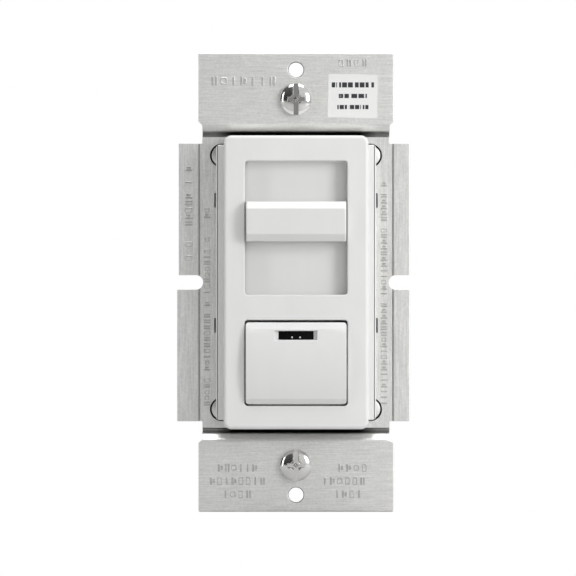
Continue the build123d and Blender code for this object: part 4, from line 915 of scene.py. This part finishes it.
def make_stamps():
    """Rows of generic struck marks where the strap is lettered."""
    plate = bend_edges()[0]
    tree = stamp_tree()
    joined = bmesh.new()
    for row, (first, last, tall) in enumerate(STAMP_ROWS):
        down = first[0] == last[0]
        front = STRAP_HIGH.y - sizes().sheet_thickness if abs(first[1]) * MM < plate else STRAP_LOW.y
        spots = int(math.dist(first, last) / (0.82 * tall)) + 1
        for kind, outlines in enumerate(STAMP_OUTLINES):
            made = grown(tree, struck_mark(outlines), {
                "Count": spots,
                "First": (first[0] * MM, front, first[1] * MM),
                "Last": (last[0] * MM, front, last[1] * MM),
                "Turn": (0, -math.pi / 2 if down else 0, 0),
                "Size": (tall * MM, sizes().stamp_height, tall * MM),
                "Kinds": len(STAMP_OUTLINES),
                "Kind": kind,
                "Seed": TREE_SEED + row,
                "Material": finish_store()["struck_aluminium"],
            })
            joined.from_mesh(made)
    new_piece("struck_marks", joined, "device", "strap_aluminium", crease=20.0, finish="struck_aluminium")


def make_rivets():
    """Four rivets: a flat head with a rounded rim, a shank and a rolled hollow tail."""
    dome = sizes().rivet_dome
    head, shank, tail, bore = RIVET_RADIUS, 1.2 * MM, 1.9 * MM, 0.8 * MM
    front, back = RIVET_LOW.y, RIVET_HIGH.y
    head_back = front + 1.3 * MM
    tail_front = back - 0.7 * MM
    depth = back - 4.0 * MM
    side = [(0.0, front), (head - dome, front), (head - 0.3 * dome, front + 0.3 * dome),
            (head, front + dome), (head, head_back), (shank, head_back), (shank, tail_front),
            (tail, tail_front), (tail, back - dome), (tail - 0.3 * dome, back - 0.3 * dome),
            (tail - dome, back), (bore + 2 * dome, back), (bore + 0.6 * dome, back),
            (bore, back - dome), (bore, depth), (0.0, depth)]
    made = grown(rivet_tree(), turned_solid("rivet", side), {
        "Span X": RIVET_HIGH.x - RIVET_LOW.x - 2 * head,
        "Span Z": RIVET_HIGH.z - RIVET_LOW.z - 2 * head,
        "Material": finish_store()["rivet_aluminium"],
    })
    place_piece("corner_rivets", outward(made), "device", "rivet_aluminium", "strap_rivets")


def make_label():
    """Paper label with slightly lifted corners and a soft wave."""
    middle = (LABEL_LOW + LABEL_HIGH) / 2
    wide, tall = LABEL_SIZE
    mesh = bmesh.new()
    bmesh.ops.create_grid(mesh, x_segments=24, y_segments=20, size=0.5,
                          matrix=Matrix.Rotation(math.pi / 2, 4, "X"))
    for vertex in mesh.verts:
        x, z = vertex.co.x * 2, vertex.co.z * 2
        lift = LABEL_LIFT * max(0.0, abs(x * z) - LABEL_FLAT) / (1 - LABEL_FLAT)
        wave = LABEL_WAVE * math.sin(5 * x + 2 * z)
        vertex.co = Vector((x * wide / 2, -lift - wave, z * tall / 2))
    mesh.transform(Matrix.Translation((middle.x, LABEL_HIGH.y - LABEL_BACK, middle.z))
                   @ Matrix.Rotation(LABEL_TURN, 4, "Y"))
    face_out(mesh)
    if sum(face.normal.y for face in mesh.faces) > 0:
        bmesh.ops.reverse_faces(mesh, faces=mesh.faces)
    bmesh.ops.solidify(mesh, geom=mesh.faces, thickness=LABEL_PAPER)
    face_out(mesh)
    new_piece("printed_label", mesh, "device", "label_paper", "strap_label")


# ---- screws
def screw_blank(front, tip):
    """Turned blank of a captive screw on the Y axis: domed head, neck and threaded root."""
    rim, neck, root = HEAD_RADIUS, NECK_RADIUS, sizes().thread_root
    seat = front + HEAD_HEIGHT
    fall = DOME_RISE / (1 - math.cos(DOME_TURNS[-1]))
    dome = [(rim * math.sin(turn), front + fall * (1 - math.cos(turn))) for turn in DOME_TURNS]
    reach = dome[-1][0]
    side = [*dome, (reach + 0.7 * (rim - reach), front + 1.05 * MM), (rim, front + 1.3 * MM),
            (rim, seat - 0.25 * MM), (rim - 0.25 * MM, seat), (neck + 0.2 * MM, seat),
            (neck, seat + 0.2 * MM), (neck, THREAD_START - 0.1 * MM), (root, THREAD_START),
            (root, tip - 0.9 * MM), (root - 0.55 * MM, tip), (0.0, tip)]
    return turned_solid("blank", side)


def make_screw(node, tree):
    """Captive screw: slotted and crossed dome head, neck and a real helical thread."""
    low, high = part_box(node)
    size = sizes()
    ridge = THREAD_RADIUS - size.thread_root
    run = high.y - THREAD_START - 2 * ridge - POINT_CLEAR
    made = grown(tree, screw_blank(low.y, high.y), {
        "Root Radius": size.thread_root,
        "Ridge Height": ridge,
        "Turns": run / size.thread_pitch,
        "Length": run,
        "Start": (0, THREAD_START + ridge, 0),
        "Head Front": (0, low.y, 0),
        "Slot Size": SLOT_CUT,
        "Cross Size": CROSS_CUT,
        "Point Radius": POINT_CUT[0],
        "Point Depth": POINT_CUT[1],
        "Material": finish_store()["zinc_steel"],
    })
    mesh = bmesh.new()
    mesh.from_mesh(made)
    weld(mesh, CUT_JOIN)
    bmesh.ops.dissolve_degenerate(mesh, dist=CUT_JOIN, edges=mesh.edges)
    mesh.normal_update()
    edges = [edge for edge in mesh.edges
             if sharp(edge, 40.0) and middle_of(edge).y < low.y + DRIVE_DEPTH]
    bmesh.ops.bevel(mesh, geom=edges, offset=DRIVE_EDGE, offset_type="OFFSET", segments=2, profile=0.5,
                    affect="EDGES", clamp_overlap=True)
    mesh.transform(Matrix.Translation((0, 0, (low.z + high.z) / 2)))
    name = node.replace("box_screw", "captive_screw")
    new_piece(name, mesh, body_of(node), "zinc_steel", node, crease=30.0)


def make_screws():
    """Both box screws, from one tree."""
    tree = screw_tree()
    for node in ("box_screw_top", "box_screw_bottom"):
        make_screw(node, tree)


# ---- face
def make_face():
    """Face frame with rounded window edges and a softly rounded flange."""
    mesh = joined_solid("face_frame")
    front = FACE_LOW.y
    flange_front = STRAP_HIGH.y - sizes().sheet_thickness - FLANGE_RISE

    def window_rim(edge):
        return all(vertex.co.y < front + ON_FACE for vertex in edge.verts)

    def flange_rim(edge):
        place = middle_of(edge)
        outside = abs(place.x) > FLANGE_INSIDE[0] or abs(place.z) > FLANGE_INSIDE[1]
        return outside and all(abs(vertex.co.y - flange_front) < ON_FACE for vertex in edge.verts)

    round_edges(mesh, sizes().face_edge, window_rim, 3)
    round_edges(mesh, sizes().flange_edge, flange_rim, 3)
    new_piece("face_moulding", mesh, "device", "white_frame", "face_frame")


def make_knob():
    """Slider knob with soft edges between its facets."""
    mesh = joined_solid("slider_knob")
    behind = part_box("slider_knob")[0].y + KNOB_DEPTH
    round_edges(mesh, sizes().knob_edge, lambda edge: middle_of(edge).y < behind, 3, 20.0)
    new_piece("slider_cap", mesh, "slider", "white_knob", "slider_knob")


def make_pad():
    """Push pad with soft edges, and sloped ends inside its light window."""
    mesh = joined_solid("push_pad")
    behind = PAD_LOW.y + PAD_DEPTH
    round_edges(mesh, sizes().pad_edge, lambda edge: middle_of(edge).y < behind, 3, 25.0)
    reach = (LENS_HIGH.x - LENS_LOW.x) / 2
    front = LENS_LOW.y - RAMP_OVERLAP
    ends = (LENS_HIGH.z + RAMP_OVERLAP, LENS_LOW.z - RAMP_OVERLAP)
    for side in (-1, 1):
        outer = side * (reach + RAMP_OVERLAP)
        inner = side * (reach - sizes().lens_ramp)
        corners = [(outer, front), (inner, LENS_LOW.y + RAMP_DROP[0]), (outer, LENS_LOW.y + RAMP_DROP[1])]
        rings = [[mesh.verts.new((x, y, z)) for x, y in corners] for z in ends]
        mesh.faces.new(rings[0])
        mesh.faces.new(rings[1])
        skin(mesh, *rings)
    face_out(mesh)
    new_piece("press_pad", mesh, "pad", "white_knob", "push_pad")


def make_lens():
    """Smoked window, very slightly crowned, with a rounded rim."""
    mesh = joined_solid("locator_lens")
    wide = LENS_HIGH.x - LENS_LOW.x
    slice_at(mesh, 0, [LENS_LOW.x + wide * step / LENS_CUTS for step in range(1, LENS_CUTS)])
    for vertex in mesh.verts:
        if vertex.co.y < LENS_LOW.y + 0.5 * ON_FACE:
            vertex.co.y += LENS_CROWN * (vertex.co.x / (wide / 2)) ** 2
    round_edges(mesh, LENS_EDGE, lambda edge: middle_of(edge).y < LENS_LOW.y + LENS_DEPTH, 2)
    new_piece("light_window", mesh, "pad", "smoked_lens", "locator_lens")


def make_light_tips():
    """Two small lit tips of the light pipe, seen in the lower part of the light window."""
    mesh = bmesh.new()
    across, behind, above = TIP_PLACE
    for side in (-1, 1):
        place = Matrix.Translation((side * across, LENS_LOW.y + behind, LENS_LOW.z + above))
        bmesh.ops.create_uvsphere(mesh, u_segments=20, v_segments=12, radius=TIP_RADIUS, matrix=place)
    new_piece("light_tips", mesh, "pad", "clear_plastic", finish="tip")


def finish_solids():
    """Gives every piece that keeps its plain solid the finish of its material slot."""
    for part in frame["record"]["subparts"]:
        solid = frame["nodes"][part["node"]]
        solid.data.materials.clear()
        solid.data.materials.append(finish_store()[part["material_slot"]])


# ---- stage
def soft_light(name, azimuth, elevation, distance, size, power):
    """Soft light aimed at the middle of the object. Azimuth 0 is in front, 90 to the right."""
    lamp = bpy.data.lights.new(name, "AREA")
    lamp.shape = "RECTANGLE"
    lamp.size, lamp.size_y = size
    lamp.energy = power
    holder = placed_object(name, lamp)
    turn, rise = math.radians(azimuth), math.radians(elevation)
    away = Vector((math.sin(turn) * math.cos(rise), -math.cos(turn) * math.cos(rise), math.sin(rise)))
    holder.location = away * distance
    holder.rotation_euler = (-away).to_track_quat("-Z", "Y").to_euler()


def make_lights():
    """The soft lights round the object."""
    for name, placing in LIGHTS.items():
        soft_light(name, *placing)


def seen_apart(made, lighting, shown):
    """One surface for the camera and another for the light that falls on the piece."""
    seen = made.node("ShaderNodeLightPath", {}, {}, "Is Camera Ray")
    return made.node("ShaderNodeMixShader", {}, {0: seen, 1: lighting, 2: shown})


def make_floor():
    """Plain white floor that the lower ear stands on. It lights the piece less than it shows."""
    made = Finish("studio_floor")
    grain = made.noise(4.0 * MM)
    tint = made.mix(grain, (0.50, 0.50, 0.50), (0.54, 0.54, 0.54))
    material = made.drive(base_color=tint, roughness=0.8 + grain * 0.1)
    shown = made.node("ShaderNodeEmission", {}, {"Color": WHITE, "Strength": 1.0})
    made.finish_with(seen_apart(made, made.surface(), shown))
    mesh = bmesh.new()
    bmesh.ops.create_circle(mesh, cap_ends=True, segments=96, radius=FLOOR_RADIUS)
    mesh.transform(Matrix.Translation((0, 0, CAD_BOX[0].z)))
    data = plain_mesh("studio_floor", mesh)
    data.materials.append(material)
    floor = placed_object("studio_floor", data)


def make_world():
    """White to look at; as a light, a room that is brighter to the right and overhead."""
    world = bpy.data.worlds.new("studio")
    world.use_nodes = True
    made = Shading(world.node_tree)
    way = made.node("ShaderNodeTexCoord", {}, {}, "Generated")
    split = made.node("ShaderNodeSeparateXYZ", {}, {"Vector": way})
    right, _, up = (Value(made, socket) for socket in split.socket.node.outputs)
    level = ROOM_DARK + (right + up * 0.25).ramp(*ROOM_EDGE) * ROOM_BRIGHT + up * ROOM_RISE
    room = made.node("ShaderNodeBackground", {}, {"Color": WHITE, "Strength": level})
    white = made.node("ShaderNodeBackground", {}, {"Color": WHITE, "Strength": 1.0})
    made.node("ShaderNodeOutputWorld", {}, {"Surface": seen_apart(made, room, white)}, None)
    bpy.context.scene.world = world


def make_camera():
    """Camera straight in front, far enough back for a nearly flat view."""
    lens = bpy.data.cameras.new("front_camera")
    lens.sensor_width = 36.0
    lens.lens = lens.sensor_width * CAMERA_DISTANCE / VIEW_WIDTH
    lens.clip_start = 0.05
    holder = placed_object("front_camera", lens)
    holder.location = CAMERA_AIM + Vector((0, -CAMERA_DISTANCE, 0))
    holder.rotation_euler = (math.pi / 2, 0, 0)
    bpy.context.scene.camera = holder


def plain_view():
    """Shows tones as they are."""
    bpy.context.scene.view_settings.view_transform = "Standard"
    bpy.context.scene.view_settings.look = "None"


# ---- operators

class DimmerStep:
    """One step of the build, as a list of what it makes."""
    makers = ()

    def execute(self, context):
        for make in self.makers:
            make()
        return {"FINISHED"}


class DIMMER_OT_stage(DimmerStep, bpy.types.Operator):
    """Set up the floor, the room, the lights and the camera"""
    bl_idname = "dimmer.stage"
    bl_label = "Stage"
    makers = (make_floor, make_world, make_camera, make_lights, plain_view)


class DIMMER_OT_solids(DimmerStep, bpy.types.Operator):
    """Give every plain solid its finish"""
    bl_idname = "dimmer.solids"
    bl_label = "Solids"
    makers = (finish_solids,)


class DIMMER_OT_strap(DimmerStep, bpy.types.Operator):
    """Make the strap's bent sheet and its struck marks"""
    bl_idname = "dimmer.strap"
    bl_label = "Strap"
    makers = (make_strap, make_stamps)


class DIMMER_OT_label(DimmerStep, bpy.types.Operator):
    """Make the paper label"""
    bl_idname = "dimmer.label"
    bl_label = "Label"
    makers = (make_label,)


class DIMMER_OT_fasteners(DimmerStep, bpy.types.Operator):
    """Make the corner rivets and the two captive screws"""
    bl_idname = "dimmer.fasteners"
    bl_label = "Fasteners"
    makers = (make_rivets, make_screws)


class DIMMER_OT_face(DimmerStep, bpy.types.Operator):
    """Make the face frame"""
    bl_idname = "dimmer.face"
    bl_label = "Face"
    makers = (make_face,)


class DIMMER_OT_slider(DimmerStep, bpy.types.Operator):
    """Make the slider's knob"""
    bl_idname = "dimmer.slider"
    bl_label = "Slider"
    makers = (make_knob,)


class DIMMER_OT_pad(DimmerStep, bpy.types.Operator):
    """Make the push pad and its light window"""
    bl_idname = "dimmer.pad"
    bl_label = "Push Pad"
    makers = (make_pad, make_lens, make_light_tips)


STEPS = ("stage", "solids", "strap", "label", "fasteners", "face", "slider", "pad")


class DIMMER_PT_maker(bpy.types.Panel):
    """Buttons for the steps, and the sizes and colours"""
    bl_label = "Dimmer"
    bl_idname = "DIMMER_PT_maker"
    bl_space_type = "VIEW_3D"
    bl_region_type = "UI"
    bl_category = "Dimmer"

    def draw(self, context):
        for step in STEPS:
            self.layout.operator("dimmer." + step)
        for group in (context.scene.dimmer_sizes, context.scene.dimmer_colours):
            box = self.layout.box()
            for name in group.__annotations__:
                box.prop(group, name)


CLASSES = (
    DimmerSizes,
    DimmerColours,
    DIMMER_OT_stage,
    DIMMER_OT_solids,
    DIMMER_OT_strap,
    DIMMER_OT_label,
    DIMMER_OT_fasteners,
    DIMMER_OT_face,
    DIMMER_OT_slider,
    DIMMER_OT_pad,
    DIMMER_PT_maker,
)


def register():
    for one in CLASSES:
        bpy.utils.register_class(one)
    bpy.types.Scene.dimmer_sizes = PointerProperty(type=DimmerSizes)
    bpy.types.Scene.dimmer_colours = PointerProperty(type=DimmerColours)


def unregister():
    del bpy.types.Scene.dimmer_colours
    del bpy.types.Scene.dimmer_sizes
    for one in reversed(CLASSES):
        bpy.utils.unregister_class(one)


def main():
    register()
    for step in STEPS:
        getattr(bpy.ops.dimmer, step)()


if __name__ == "__main__":
    main()
